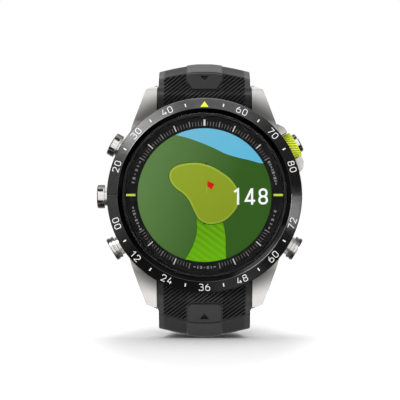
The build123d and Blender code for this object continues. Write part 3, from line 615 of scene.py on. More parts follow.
# Numerals on a unit box: (points, corner radius as a share of the width, closed).
DIGITS = {
    "0": [([(0, 0), (1, 0), (1, 1), (0, 1)], 0.38, True)],
    "1": [([(0.1, 0.74), (0.6, 1.0), (0.6, 0.0)], 0.0, False)],
    "2": [([(0.0, 0.74), (0.0, 1.0), (0.96, 1.0), (0.96, 0.6), (0.0, 0.0), (1.0, 0.0)],
           [0, 0.34, 0.34, 0.3, 0, 0], False)],
    "3": [([(0.0, 1.0), (0.94, 1.0), (0.94, 0.54), (0.36, 0.54)], 0.3, False),
          ([(0.36, 0.54), (1.0, 0.54), (1.0, 0.0), (0.0, 0.0), (0.0, 0.16)], 0.3, False)],
    "4": [([(0.5, 1.0), (0.0, 0.24), (1.04, 0.24)], 0.04, False), ([(0.76, 0.52), (0.76, 0.0)], 0, False)],
    "6": [([(0.0, 0.0), (1.0, 0.0), (1.0, 0.6), (0.0, 0.6)], 0.34, True),
          ([(0.0, 0.3), (0.0, 0.62), (0.55, 1.0)], 0.1, False)],
    "7": [([(0.0, 1.0), (1.0, 1.0), (0.36, 0.0)], 0.0, False)],
    "8": [([(0.0, 0.0), (1.0, 0.0), (1.0, 0.53), (0.0, 0.53)], 0.32, True),
          ([(0.07, 0.53), (0.93, 0.53), (0.93, 1.0), (0.07, 1.0)], 0.3, True)],
}


def numeral(solid, text, centre, up, size, stroke, low, high, height=None, look=0, gap=0.42, soft=1.0):
    """Row of digits centred on a dial point, tops towards the direction up."""
    wide, tall = size
    up = Vector(up).normalized()
    side = Vector((up.y, -up.x))
    wide, tall = wide - stroke, tall - stroke
    widths = [wide * (0.6 if c == "1" else 1.0) for c in text]
    total = sum(widths) + (gap + stroke) * (len(text) - 1)
    start = -total / 2
    for c, w in zip(text, widths):
        for points, radius, closed in DIGITS[c]:
            shift = 0.3 if c == "1" else 0.0
            box = [((x - shift) * wide, y * tall) for x, y in points]
            reach = [r * wide * soft for r in radius] if isinstance(radius, list) else radius * wide * soft
            line = rounded(box, reach, closed)
            placed = [tuple(Vector(centre) + side * (start + x) + up * (y - tall / 2)) for x, y in line]
            solid.stroke(placed, stroke, closed, low, high, height, look)
        start += w + gap + stroke


# ------------------------------------------------------------ bezel and dial marks

marks = Solid()
UPPER = {18: "80", 42: "70", 66: "60", 114: "40", 138: "30", 162: "20"}
LOWER = {198: "00", 222: "12", 246: "24", 270: "36", 294: "48", 318: "60", 342: "72"}
for group, sign in ((UPPER, 1), (LOWER, -1)):
    for degrees, text in group.items():
        centre = polar(21.68, degrees)
        numeral(marks, text, centre, (sign * centre[0], sign * centre[1]), (1.12, 1.62), 0.165, -0.06, 0.03,
                cone)
for degrees in (30, 54, 78, 102, 126, 150, 210, 234, 258, 282, 306, 330):
    marks.plate(tile(21.6, degrees, 0.78, 0.27), -0.06, 0.03, cone)
marks.plate([(-0.95, 20.75), (0.95, 20.75), (0.0, 22.1)], -0.06, 0.035, cone, look=1)
# dark lines at 3 and 9 o'clock stand for engraved lines: painted shade of their grooves
for degrees in (-0.7, 0.7, 179.3, 180.7):
    marks.plate(tile(21.65, degrees, 2.1, 0.12), -0.06, 0.012, cone, look=2)
marks.piece("bezel_marks", "watch_head", "silver_pusher", "paint", "lime_paint", "panel")


def on_ring(x, y):
    return RING_TOP


ticks = Solid()
MAJOR = (42, 66, 90, 114, 138, 222, 246, 294, 318)
for low, high in ((30, 150), (210, 258), (282, 330)):
    count = round((high - low) / 2.4)
    for step in range(count + 1):
        degrees = low + step * 2.4
        if any(abs(degrees - m) < 0.1 for m in MAJOR):
            long, wide, look = 1.5, (0.5 if abs(degrees - 90) < 0.1 else 0.26), 0
        elif step % 5 == 0:
            long, wide, look = 1.3, 0.2, 3
        else:
            long, wide, look = 1.0, 0.17, 2
        ticks.plate(tile(16.3 + long / 2, degrees, long, wide), -0.03, 0.03, on_ring, look)
for degrees in (0, 180):
    ticks.plate(tile(17.3, degrees, 2.2, 0.5), -0.03, 0.03, on_ring, look=1)
# Rows of small dashes stand where such dials carry words.
for low, high, count in ((9, 27, 9), (153, 170, 6), (190, 208, 8), (333, 347, 5), (262, 278, 7)):
    for step in range(count):
        degrees = low + (high - low) * step / (count - 1)
        ticks.plate(tile(17.0, degrees, 0.62 if step % 3 else 0.3, 0.26 if step % 2 else 0.5), -0.03, 0.02,
                    on_ring, look=3)
ticks.piece("dial_ticks", "watch_head", "silver_pusher", "paint", "lime_paint", "dim_paint", "mid_paint")

# ------------------------------------------------------------ display picture


def circle(radius, at=(0, 0), steps=96):
    return [tuple(Vector(at) + Vector(polar(radius, 360 * k / steps))) for k in range(steps)]


def catmull(a, b, c, d, steps=6):
    """Points of a Catmull-Rom span from b up to, not including, c."""
    a, b, c, d = (np.array(p, float) for p in (a, b, c, d))
    bend, twist = 2 * a - 5 * b + 4 * c - d, 3 * b - a - 3 * c + d
    return [tuple(0.5 * (2 * b + (c - a) * t + bend * t ** 2 + twist * t ** 3)) for t in np.arange(steps) / steps]


def smooth_loop(points):
    count = len(points)
    return [p for k in range(count) for p in catmull(*(points[(k + j) % count] for j in (-1, 0, 1, 2)))]


def smooth_line(points):
    line = [np.array(p, float) for p in points]
    ends = [2 * line[0] - line[1], *line, 2 * line[-1] - line[-2]]
    return [p for k in range(len(line) - 1) for p in catmull(*ends[k:k + 4])] + [tuple(points[-1])]


def inset(loop, amount):
    """Loop moved inwards by an even amount."""
    count = len(loop)
    area = sum(a[0] * b[1] - b[0] * a[1] for a, b in zip(loop, loop[1:] + loop[:1]))
    sign = 1 if area > 0 else -1
    made = []
    for k in range(count):
        way = Vector(loop[(k + 1) % count]) - Vector(loop[k - 1])
        way.normalize()
        made.append((loop[k][0] - sign * way.y * amount, loop[k][1] + sign * way.x * amount))
    return made


def layer(step):
    return (PANEL_TOP + 0.001, PANEL_TOP + 0.012 * (step + 1))


SHORE = [(-6.7, 14.15), (-3.55, 13.31), (0.28, 11.9), (2.87, 10.72), (5.0, 9.71), (7.93, 8.81), (10.86, 8.14),
         (13.55, 7.35)]
GREEN = [(-8.43, 4.65), (-8.05, 5.89), (-6.93, 6.9), (-5.35, 7.46), (-3.1, 7.75), (-1.3, 7.73), (0.5, 7.35),
         (2.3, 6.63), (4.1, 5.55), (5.9, 4.24), (7.25, 2.62), (8.16, 0.82), (8.38, -0.98), (7.71, -3.01),
         (6.58, -4.58), (5.23, -5.82), (3.88, -6.54), (2.3, -6.95), (1.18, -6.99), (0.05, -6.72), (-1.3, -5.93),
         (-1.97, -5.03), (-2.87, -3.23), (-3.77, -1.43), (-4.9, 0.03), (-6.7, 1.38), (-7.83, 2.62),
         (-8.32, 3.75)]
FAIRWAY_LEFT = [(-1.6, -4.6), (-1.97, -5.71), (-1.88, -7.28), (-1.97, -9.08), (-2.65, -11.33), (-3.55, -13.25),
                (-4.6, -15.03)]
FAIRWAY_RIGHT = [(5.15, -14.85), (5.07, -12.24), (5.07, -10.21), (4.82, -8.18), (4.44, -6.5), (4.0, -5.2)]


def on_rim(a, b, steps=24):
    """Points along the picture's rim between two dial points, the short way round."""
    first, last = math.degrees(math.atan2(a[1], a[0])), math.degrees(math.atan2(b[1], b[0]))
    last = first + (last - first + 180) % 360 - 180
    return [polar(PICTURE_R, first + (last - first) * k / steps) for k in range(steps + 1)]


picture = Solid()
picture.plate(circle(PICTURE_R), *layer(0), look=0)
shore = smooth_line(SHORE)
picture.plate(on_rim(shore[-1], shore[0], 48) + shore[1:-1], *layer(1), look=1)
low_rim = on_rim(FAIRWAY_LEFT[-1], FAIRWAY_RIGHT[0], 16)
fairway = smooth_line(FAIRWAY_LEFT) + low_rim + smooth_line(FAIRWAY_RIGHT)
picture.plate(fairway, *layer(1), look=7)
picture.plate(inset(fairway, 0.14), *layer(2), look=2)
green = smooth_loop(GREEN)
picture.plate(green, *layer(3), look=3)
picture.plate(inset(green, 0.2), *layer(4), look=4)
picture.plate(inset(green, 0.62), *layer(5), look=5)
picture.plate([(0.64, 3.41), (2.35, 2.62), (1.67, 1.23), (0.64, 2.06)], *layer(7), look=6)
picture.plate([(0.46, 2.3), (0.56, 2.3), (0.46, 0.3), (0.38, 0.3)], *layer(6), look=10)
for at in ((0.43, 7.39), (-0.02, -6.68)):
    picture.plate(circle(0.22, at, 16), *layer(6), look=9)
NUMBER = (
    ([(6.96, 0.72), (7.86, 1.36), (7.86, -2.24)], False, 0),
    ([(11.15, 1.62), (11.15, -2.24)], False, 0),
    ([(11.0, 1.42), (9.66, -1.32), (11.86, -1.32)], False, 0),
    ([(12.93, -0.3), (14.53, -0.3), (14.53, 1.34), (12.93, 1.34)], True, 0.72),
    ([(12.85, -1.94), (14.61, -1.94), (14.61, -0.3), (12.85, -0.3)], True, 0.78),
)
for line, closed, radius in NUMBER:
    picture.stroke(rounded(line, radius, closed, 8), 0.5, closed, *layer(6), look=8)
picture.piece("screen_picture", "watch_head", "screen", "turf", "water", "fairway", "green_dark", "green_light",
              "green", "red", "fairway_edge", "white", "ink", "pole")

# ------------------------------------------------------------ crystal


def crystal():
    """Domed crystal with a bevelled rim, turned about the dial's axis."""
    rim, base, apex, edge_low, crown_r, edge_high = 19.35, 12.75, 14.9, 14.03, 18.3, 14.12
    ball = (crown_r ** 2 + (apex - edge_high) ** 2) / 2 / (apex - edge_high)
    profile = [(rim * k / 6, base) for k in range(1, 7)] + [(rim, edge_low)]
    for k in range(14):
        r = crown_r * (1 - k / 14)
        profile.append((r, apex - ball + math.sqrt(ball ** 2 - r ** 2)))
    count = 192
    rows = [[dial(*polar(r, 360 * k / count), z) for k in range(count)] for r, z in profile]
    made = Solid().rings(rows, (dial(0, 0, base), dial(0, 0, apex)))
    made = made.piece("crystal_dome", "watch_head", "crystal", "glass", angle=15, replaces=("lens",))
    made.visible_shadow = False


crystal()

# ------------------------------------------------------------ start sleeve

SLEEVE_R, SLEEVE_IN, SEAT_R = 3.15, 2.4, 2.02
SLEEVE_FROM, SEAT_TO, SLEEVE_STEP = 22.35, 22.86, 0.055
RIDGES, RIDGE_DEEP, RIDGE_SLANT = 28, 0.3, 0.577


def pusher_point(u, radius, turn, degrees):
    """Row point beside the axis of the pusher at this angle: u along it, at a radius, turned from the front."""
    axis, side = polar(1.0, degrees), polar(1.0, degrees + 90)
    across = radius * math.sin(turn)
    return (u * axis[0] + across * side[0], -(BUTTON_Z + radius * math.cos(turn)),
            u * axis[1] + across * side[1])


def sleeve():
    """Sleeve round the start pusher, with slanting ridges and a rounded rim."""
    degrees = math.degrees(START_ANGLE)
    stations = [SLEEVE_FROM + SLEEVE_STEP * k for k in range(51)]
    turns = [2 * math.pi * k / (RIDGES * 8) for k in range(RIDGES * 8)]
    rows = []
    for u in stations:
        fade = min(1.0, max(0.0, (25.0 - u) / 0.15)) * min(1.0, max(0.0, (u - 22.9) / 0.1))
        rim = 0.16 * max(0.0, (u - 24.94) / 0.16) ** 2
        slant = RIDGES * (u - 23) * RIDGE_SLANT / SLEEVE_R
        waves = [0.5 + 0.5 * math.cos(RIDGES * turn + slant) for turn in turns]
        radii = [SLEEVE_R - rim - fade * RIDGE_DEEP * (1 - wave) ** 1.2 for wave in waves]
        rows.append([pusher_point(u, r, turn, degrees) for r, turn in zip(radii, turns)])
    for u, r in ((stations[-1], SLEEVE_IN), (SEAT_TO + 0.02, SLEEVE_IN), (SEAT_TO, SEAT_R),
                 (stations[0], SEAT_R)):
        rows.append([pusher_point(u, r, turn, degrees) for turn in turns])
    Solid().rings(rows).piece("start_sleeve_grip", "watch_head", "lime", "lime", angle=50,
                              replaces=("start_sleeve",))


sleeve()

# ------------------------------------------------------------ smooth pushers


def turned(name, degrees):
    """Pusher without notches: stem, clip groove and a cap with a turned groove."""
    profile = [(18.4, 0.8), (18.8, 0.8), (18.8, 0.6), (19.15, 0.6), (19.15, 0.8), (24.8, 0.8), (24.8, 2.45),
               (23.75, 2.45), (23.75, 2.6), (23.85, 2.7), (24.3, 2.7), (24.38, 2.58), (24.55, 2.58),
               (24.63, 2.7), (24.7, 2.8), (25.22, 2.8), (25.42, 2.7), (25.5, 2.5)]
    count = 72
    rows = [[pusher_point(u, r, 2 * math.pi * k / count, degrees) for k in range(count)] for u, r in profile]
    poles = [pusher_point(u, 0, 0, degrees) for u in (profile[0][0], profile[-1][0])]
    made = Solid().rings(rows, poles)
    made.piece(name + "_pusher_turned", name + "_button", "silver_pusher", "smooth_cap", angle=40,
               replaces=(name + "_pusher",))


turned("down", 210)
turned("back", 330)

# ------------------------------------------------------------ straps


def filleted(points, radii):
    """Function of t, 0 to the last index, along a polyline with rounded corners."""
    points = [np.array(p, float) for p in points]
    cuts = {}
    for k in range(1, len(points) - 1):
        if radii[k]:
            back, ahead = points[k - 1] - points[k], points[k + 1] - points[k]
            lb, la = np.linalg.norm(back), np.linalg.norm(ahead)
            half = math.acos(np.clip(back @ ahead / lb / la, -1, 1)) / 2
            reach = min(radii[k] / math.tan(half), 0.48 * lb, 0.48 * la)
            radius = reach * math.tan(half)
            middle = back / lb + ahead / la
            centre = points[k] + middle / np.linalg.norm(middle) * radius / math.sin(half)
            cuts[k] = (reach / lb, reach / la, points[k] + back / lb * reach, points[k] + ahead / la * reach,
                       centre, radius)

    def at(t):
        k = round(t)
        if k in cuts and -cuts[k][0] < t - k < cuts[k][1]:
            before, after, start, stop, centre, radius = cuts[k]
            share = (t - k + before) / (before + after)
            a, b = start - centre, stop - centre
            angle = math.acos(np.clip(a @ b / radius ** 2, -1, 1))
            arm = (math.sin((1 - share) * angle) * a + math.sin(share * angle) * b) / math.sin(angle)
            return centre + arm
        low = min(int(t), len(points) - 2)
        return points[low] + (points[low + 1] - points[low]) * (t - low)

    return at


def ease(x, low, high):
    t = np.clip((x - low) / (high - low), 0, 1)
    return t * t * (3 - 2 * t)


def near(x, y=0.0):
    """Point in the side frame of the strap's near end, as (y, z)."""
    return (PIN[0] + ALONG[0] * x + OUT[0] * y, PIN[1] + ALONG[1] * x + OUT[1] * y)


LEG_LEAN = math.radians(10)


def leg(along, out):
    """Point beside the buckle half's straight leg, as (y, z)."""
    a = LEG_LEAN
    return (8.5 + along * math.cos(a) + out * math.sin(a), 33.2 - along * math.sin(a) + out * math.cos(a))


INNER_START = (PIN[0] + 2.6 * ALONG[1], PIN[1] - 2.6 * ALONG[0])
INNER_BEND = (INNER_START[0] + 5.2 * ALONG[0], INNER_START[1] + 5.2 * ALONG[1])
SHOULDER, CREASE = (-9.6, 23.6), (-4.4, 30.15)
CREASE_AT = math.dist(SHOULDER, CREASE)
BLOCK_FROM = 2.55


def crown(x, w, lower):
    """How far the outer face curves down towards its edges: a parabola on the ribbed face,
    straighter at the ridge."""
    ax = np.abs(x)
    share = ease(w, 5.0, CREASE_AT)
    parabola, ridge = (ax / 11) ** 2, (np.clip(ax - 1.5, 0, None) / 9.5) ** 1.4
    return np.interp(w, *(CROWN_LOWER if lower else CROWN)) * ((1 - share) * parabola + share * ridge)


def relief(x, w, z, lower):
    """How far the strap's outer face lies under its smooth face, and how much of that is a recess that gets
    painted shade.
    """
    ax = np.abs(x)
    # middle block, its first corners cut off
    block_half, cut, steep = (3.95, 3.2, 1.0) if lower else (4.15, 2.9, 2.1)
    corner = BLOCK_FROM + np.clip(ax - cut, 0, None) * steep
    block = (1 - ease(ax, block_half, block_half + 0.22)) * ease(w, corner - 0.12,
                                                                 corner + 0.12) * (1 - ease(w, 17, 24))
    beside = 0.42 - (0.0 if lower else 0.17) * ease(w, 7, 9)
    around_block = beside * (1 - block) * (1 - ease(w, 17, 24)) * ease(w, 0.6, 2.4)
    # ribs that slant across the front view, between the bezel and the crease
    lean, pitch = (0.78, 0.93) if lower else (0.93, 1.05)
    phase = ((z - 23.0 + (x if lower else -x) * lean) / pitch) % 1.0
    groove = ease(phase, 0.08, 0.2) * (1 - ease(phase, 0.5, 0.62))
    stop = CREASE_AT - (0.3 if lower else -0.15)
    side = (1 - ease(ax, 9.55, 9.75)) * ease(w, -6, -4) * (1 - ease(w, stop - 0.25, stop))
    clear = np.maximum(ease(ax, block_half + 0.3, block_half + 0.5), 1 - ease(w, corner - 0.6, corner - 0.4))
    groove = groove * side * clear
    # crease across the whole strap, and the pointer sunk in the block
    line = (0.12 * block + (0.16 if lower else 0.06)) * np.exp(-((w - CREASE_AT + 0.15) / 0.2) ** 2)
    reach = np.clip((w - 5.5) / 1.5, 0, 1)
    pointer = (1 - ease(ax, reach - 0.06, reach + 0.06)) * ease(w, 5.5, 5.6) * (1 - ease(w, 7.0, 7.12))
    return around_block + groove * (0.32 + 0.16 * ease(w, 3.6,
                                                       5.2)) + line + 0.3 * pointer, np.maximum(groove, pointer)


# Crown of the outer face at its edges against the distance from the shoulder.
CROWN = ([0, 1, 3.3, 5.2, 8.3, 11, 15, 20, 34], [0.3, 0.4, 0.45, 1.0, 1.6, 1.85, 1.95, 1.9, 0.5])
CROWN_LOWER = ([0, 1, 3.3, 5.2, 8.3, 40, 62], [0.3, 0.4, 0.45, 1.2, 2.1, 1.9, 0.5])


def strap_mesh(name, pairs, half_widths, steps, lower, tip=None):
    """Closed sweep: at each station an outer and an inner point in (y, z) and a half width."""
    outer = np.array([p[0] for p in pairs])
    inner = np.array([p[1] for p in pairs])
    run = np.concatenate([[0], np.cumsum(np.linalg.norm(np.diff(outer, axis=0), axis=1))])
    run -= run[np.argmin(np.linalg.norm(outer - np.array(SHOULDER), axis=1))]
    edge, low_edge, tip_edge = 0.28, 0.45, 0.8
    flat = np.linspace(-1, 1, steps)
    quarter = np.linspace(0, math.pi / 2, 4)
    turn = np.linspace(0, math.pi / 2, 7)[1:]
    rows, recess = [], []
    for k in range(len(pairs)):
        w = run[k]
        narrowed = ease(w, 4.5, 6.5) if lower else ease(w, 3.0, 5.5)
        half = half_widths[k] + 0.25 * (1 - narrowed) - 0.33 * ease(w, 14, 24)
        soft = min(edge, 0.45 * half)
        thick = np.linalg.norm(inner[k] - outer[k])
        inward = (inner[k] - outer[k]) / thick
        # near the crease the crown drops straight down, so the crease bows in the front view
        upright = ease(w, 4.0, CREASE_AT) * (1 - ease(w, 12, 15))
        fall = inward * (1 - upright) + np.array([0.25, -0.97]) * upright
        low_soft = min(low_edge, 0.3 * half)
        x_round = (half - soft) + soft * np.sin(turn)
        d_round = soft * (1 - np.cos(turn))
        xs = np.concatenate([-x_round[::-1], flat * (half - soft), x_round])
        bow = crown(xs, w, lower)
        z = outer[k][1] + fall[1] * bow
        drop, dark = relief(xs, np.full(len(xs), w), z, lower)
        drop = drop + np.concatenate([d_round[::-1], np.zeros(len(flat)), d_round])
        if tip is not None and tip[k] < tip_edge:
            drop = drop + tip_edge - math.sqrt(max(0.0, tip_edge ** 2 - (tip_edge - tip[k]) ** 2))
        top = [(x, *(outer[k] + fall * b + inward * d)) for x, b, d in zip(xs, bow, drop)]
        level = half - low_soft
        bx = np.concatenate([level + low_soft * np.cos(quarter), np.linspace(level, -level, 9)[1:-1],
                             -(level + low_soft * np.sin(quarter))])
        bd = np.concatenate([low_soft * (1 - np.sin(quarter)), np.zeros(7), low_soft * (1 - np.cos(quarter))])
        under = [(x, *(inner[k] - inward * d)) for x, d in zip(bx, bd)]
        rows.append(top + under)
        recess.append(np.concatenate([dark, np.zeros(len(under))]))
    sign = -1 if lower else 1
    size = len(rows[0])
    points = [(x, y, sign * z) for row in rows for x, y, z in row]
    faces, looks = [], []
    for j in range(len(rows) - 1):
        for k in range(size):
            m = (k + 1) % size
            faces.append((j * size + k, j * size + m, (j + 1) * size + m, (j + 1) * size + k))
            # faces deep in a groove or the pointer take the near-black recess rubber: painted shade
            sunk = recess[j][k] + recess[j][m] + recess[j + 1][m] + recess[j + 1][k]
            looks.append(1 if sunk > 2.4 else 0)
    faces.append(tuple(range(size)))
    faces.append(tuple(range((len(rows) - 1) * size, len(rows) * size)))
    made = scene_object(name, points, faces)
    mesh = made.data
    for look in ("tail_rubber" if lower else "rubber", "shaded_recess"):
        mesh.materials.append(M[look])
    mesh.polygons.foreach_set("material_index", looks + [0, 0])
    work = bmesh.new()
    work.from_mesh(mesh)
    bmesh.ops.triangulate(work, faces=[f for f in work.faces if len(f.verts) > 4])
    bmesh.ops.recalc_face_normals(work, faces=work.faces)
    work.to_mesh(mesh)
    work.free()
    return made


def tool(kind, at, size=(1, 1, 1), radius=1.0, length=1.0, lean=0.0, axis="X", steps=64):
    """Closed cutter mesh in mm: a box, or a cylinder along X or Y, turned about X."""
    work = bmesh.new()
    if kind == "box":
        bmesh.ops.create_cube(work, size=1.0)
        bmesh.ops.scale(work, verts=work.verts, vec=Vector(size) * MM)
    else:
        bmesh.ops.create_cone(work, cap_ends=True, segments=steps, radius1=radius * MM, radius2=radius * MM,
                              depth=length * MM)
        turn = Matrix.Rotation(math.pi / 2, 4, "Y" if axis == "X" else "X")
        bmesh.ops.transform(work, matrix=turn, verts=work.verts)
    place = Matrix.Translation(Vector(at) * MM) @ Matrix.Rotation(lean, 4, "X")
    bmesh.ops.transform(work, matrix=place, verts=work.verts)
    mesh = bpy.data.meshes.new("tool")
    work.to_mesh(mesh)
    work.free()
    made = bpy.data.objects.new("tool", mesh)
    SCENE.collection.objects.link(made)
    return made


def boolean(target, cutter, operation="DIFFERENCE"):
    step = target.modifiers.new("cut", "BOOLEAN")
    step.operation, step.solver, step.object = operation, "MANIFOLD", cutter
    result = bpy.data.meshes.new_from_object(target.evaluated_get(bpy.context.evaluated_depsgraph_get()))
    target.modifiers.clear()
    old = target.data
    target.data = result
    bpy.data.meshes.remove(old)
    spent = cutter.data
    bpy.data.objects.remove(cutter)
    bpy.data.meshes.remove(spent)


def side_box(low, high, wide, sign):
    """Box between two corners of the near end's side frame."""
    cx, cy = (low[0] + high[0]) / 2, (low[1] + high[1]) / 2
    y, z = near(cx, cy)
    return tool("box", (0, y, sign * z), (wide, high[0] - low[0], high[1] - low[1]), lean=sign * SLOPE)


# Pockets in the near end's side frame, as low corner, high corner and width: the hook's, then three for the latch.
POCKETS = (
    ((0, -0.4), (7.1, 0.65), 10.1),
    ((-0.2, -4.0), (10.5, -1.85), 8.6),
    ((-0.2, -1.86), (10.5, -1.2), 9.8),
    ((4.4, -1.3), (10.5, -0.55), 3.8),
)


def near_end(strap, sign):
    """Knuckle, bar bore, hook and latch pockets, and the end face that follows the bezel."""
    at = (0, PIN[0], sign * PIN[1])
    boolean(strap, tool("round", (0, -70, 0), radius=22.7, length=160, axis="Y", steps=256))
    boolean(strap, tool("round", at, radius=2.1, length=20.0), "UNION")
    boolean(strap, tool("round", at, radius=1.1, length=40))
    boolean(strap, tool("round", at, radius=2.1, length=10.2))
    for low, high, wide in POCKETS:
        boolean(strap, side_box(low, high, wide, sign))


def samples(*counts):
    """Even steps of t, 0 to the number of stretches, with a number of points for each stretch."""
    spans = [k + np.arange(count - 1) / (count - 1) for k, count in enumerate(counts)]
    return np.concatenate([*spans, [len(counts)]])


def upper():
    outer = filleted([(-9.75, 19), SHOULDER, CREASE, (0.9, 32.75), (8.5, 32.95), leg(40, 0)],
                     [0, 3, 2, 2.5, 20, 0])
    inner = filleted([(-5, 19), INNER_START, INNER_BEND, (3.6, 29.4), leg(-0.3, -3), leg(40, -3)],
                     [0, 1.5, 3, 4, 12, 0])
    ts = samples(40, 66, 30, 18, 34)
    pairs = [(outer(t), inner(t)) for t in ts]
    strap = strap_mesh("strap_buckle_half", pairs, [11.0] * len(ts), 165, False)
    near_end(strap, 1)
    y, z = leg(40, -1.5)
    boolean(strap, tool("round", (0, y, z), radius=1.9, length=21.8), "UNION")
    boolean(strap, tool("round", (0, y, z), radius=0.78, length=40))
    # room for the buckle frame on both sides and for the tongue in the middle
    for x, along, size in ((11.9, 41.6, (4, 8, 8)), (-11.9, 41.6, (4, 8, 8)), (0, 39.4, (3.2, 8.2, 8))):
        boolean(strap, tool("box", (x, *leg(along, -1.5)), size, lean=-LEG_LEAN))
    return hang(strap, "upper_strap", (), 32, ("strap_upper",))


# The tail: a straight run, a bend under the head, and a straight run up to its round tip.
TAIL_BEND, TAIL_THICK = 34.0, 2.9
BEND_Y, BEND_DROP = 30.0, 0.6
TAIL_RUN, TIP = 26.0, 8.0


def lower():
    level, back = TAIL_BEND - BEND_DROP, BEND_Y + TAIL_BEND
    centre = np.array([BEND_Y, -BEND_DROP])
    end = centre[1] - TAIL_RUN
    outer = filleted([(-9.75, 19), SHOULDER, CREASE, (0.4, level), (7.5, level), (BEND_Y, level)],
                     [0, 3, 2, 2, 0, 0])
    level -= TAIL_THICK
    inner = filleted([(-5, 19), INNER_START, INNER_BEND, (3.6, 29.4), (7.5, level), (BEND_Y, level)],
                     [0, 1.5, 3, 4, 6, 0])
    pairs = [(outer(t), inner(t)) for t in samples(40, 66, 26, 18, 20)]
    for a in np.linspace(0, math.pi / 2, 40)[1:]:
        way = np.array([math.sin(a), math.cos(a)])
        pairs.append((centre + TAIL_BEND * way, centre + (TAIL_BEND - TAIL_THICK) * way))
    round_tip = TIP * (1 - np.cos(np.linspace(math.pi / 2, 0.03, 22)))
    for up in np.concatenate([np.linspace(TAIL_RUN, TIP + 0.5, 12)[1:], round_tip]):
        pairs.append((np.array([back, end + up]), np.array([back - TAIL_THICK, end + up])))
    widths, tips = [], []
    for (y, z), _ in pairs:
        from_tip = z - end if y > back - 0.1 else 99.0
        half = float(np.interp(y, [10, 53], [11.0, 9.8]))
        if from_tip < TIP:
            half *= math.sqrt(max(1e-4, 1 - ((TIP - from_tip) / TIP) ** 2))
        widths.append(half)
        tips.append(from_tip)
    strap = strap_mesh("strap_tail_half", pairs, widths, 165, True, tips)
    near_end(strap, -1)
    for step in range(9):
        boolean(strap, tail_hole(11 + 6 * step))
    return hang(strap, "lower_strap", (), 32, ("strap_lower",))


def loop(name, node, body, at):
    """Low rubber loop round the buckle half, bowed like the strap, with a groove round its middle."""
    ring = [(x, 3.75 - 1.35 * (x / 9.5) ** 2) for x in np.linspace(-9.5, 9.5, 25)]
    side = [(9.5 + 2.2 * math.sin(a), 0.2 + 2.2 * math.cos(a)) for a in np.linspace(0, math.pi / 2, 9)[1:]]
    side += [(10.3 + 1.4 * math.cos(a), -2.7 - 1.4 * math.sin(a)) for a in np.linspace(0, math.pi / 2, 7)]
    ring += side + [(x, -4.1) for x in np.linspace(9.5, -9.5, 13)] + [(-x, y) for x, y in reversed(side)]
    band = [(-2.5, 0.3), (-2.42, 0.1), (-2.2, 0), (-0.45, 0), (-0.3, 0.13), (0.3, 0.13), (0.45, 0), (2.2, 0),
            (2.42, 0.1), (2.5, 0.3), (2.5, 0.75), (2.35, 0.9), (-2.35, 0.9), (-2.5, 0.75)]
    rows = [[(x, *leg(at + along, out)) for x, out in inset(ring, deep)] for along, deep in band]
    made = Solid().rings(rows)
    return made.piece(name, body, "strap_rubber", "rubber_gloss", angle=40, replaces=(node,))


def tail_hole(back):
    """Slot through the tail, its long axis along it."""
    mean = TAIL_BEND - TAIL_THICK / 2
    turn = max(0.0, (back - TAIL_RUN) / mean)
    way = (-math.sin(turn), math.cos(turn))
    through = (way[1], -way[0])
    past = min(0.0, back - TAIL_RUN)
    centre = (BEND_Y + mean * through[0], -BEND_DROP + mean * through[1] + past)
    outline = []
    for a in np.arange(32) * 2 * math.pi / 32:
        outline.append((math.sin(a), math.cos(a) + (0.5 if math.cos(a) > 0 else -0.5)))
    rows = [[(x, centre[0] + way[0] * s + through[0] * depth, -centre[1] - way[1] * s - through[1] * depth)
             for x, s in outline] for depth in (-4, 4)]
    faces = [tuple(range(32)), tuple(range(32, 64))] + [(k, (k + 1) % 32, 32 + (k + 1) % 32,
                                                         32 + k) for k in range(32)]
    made = scene_object("tool", rows[0] + rows[1], faces)
    fix_normals(made.data)
    return made


upper()
lower()
loop("strap_loop_fixed", "fixed_keeper", "upper_strap", 28.5)
loop("strap_loop_free", "free_keeper", "sliding_keeper", 19.0)

# ------------------------------------------------------------ stage, light and camera


def stage():
    """Pale floor under the tail's bend: it falls away in front and rises a little behind,
    so no horizon shows."""
    falls = [(-4000, -280), (-300, -21), (-30, -2.1), (-10, -0.4), (36, 0), (60, 1.2), (100, 4.2), (300, 9),
             (4000, 50)]
    points = [(x, y, rise - TAIL_BEND) for y, rise in falls for x in (-4000, 4000)]
    floor = scene_object("floor", points, [(k, k + 1, k + 3, k + 2) for k in range(0, 2 * len(falls) - 2, 2)])
    floor.data.shade_smooth()
    g = Graph("floor_white", Roughness=0.8, Specular_IOR_Level=0.0, Emission_Color=tone(1.0))
    g.link(g.mix(g.noise(g.place((0.01, 0.01, 0.01)), 1.0), tone(0.9), tone(0.92)), "Base Color")
    # lifts the floor to white away from the watch, so only the soft shadow under it shows
    away = g.node("VectorMath", {"operation": "LENGTH"}, i0=g.place((2.6, 0.7, 0.0))).outputs["Value"]
    g.link(g.spread(away, 45.0, 100.0, 0.0, 0.45, "SMOOTHSTEP"), "Emission Strength")
    floor.data.materials.append(g.material)
    # the floor stays under the tail's bend when the tail half swings down
    bend = bpy.data.objects.new("tail_bend_centre", None)
    bend.location = (0, BEND_Y * MM, BEND_DROP * MM)
    bend.parent = bpy.data.objects["body:lower_strap"]
    SCENE.collection.objects.link(bend)
    follow = floor.constraints.new("COPY_LOCATION")
    follow.target, follow.use_x, follow.use_y = bend, False, False
    return floor


def linked(name, pieces, state):
    """Collection for light linking, with its pieces in one state."""
    made = bpy.data.collections.new(name)
    for piece in pieces:
        made.objects.link(bpy.data.objects[piece])
    for entry in made.collection_objects:
        entry.light_linking.link_state = state
    return made


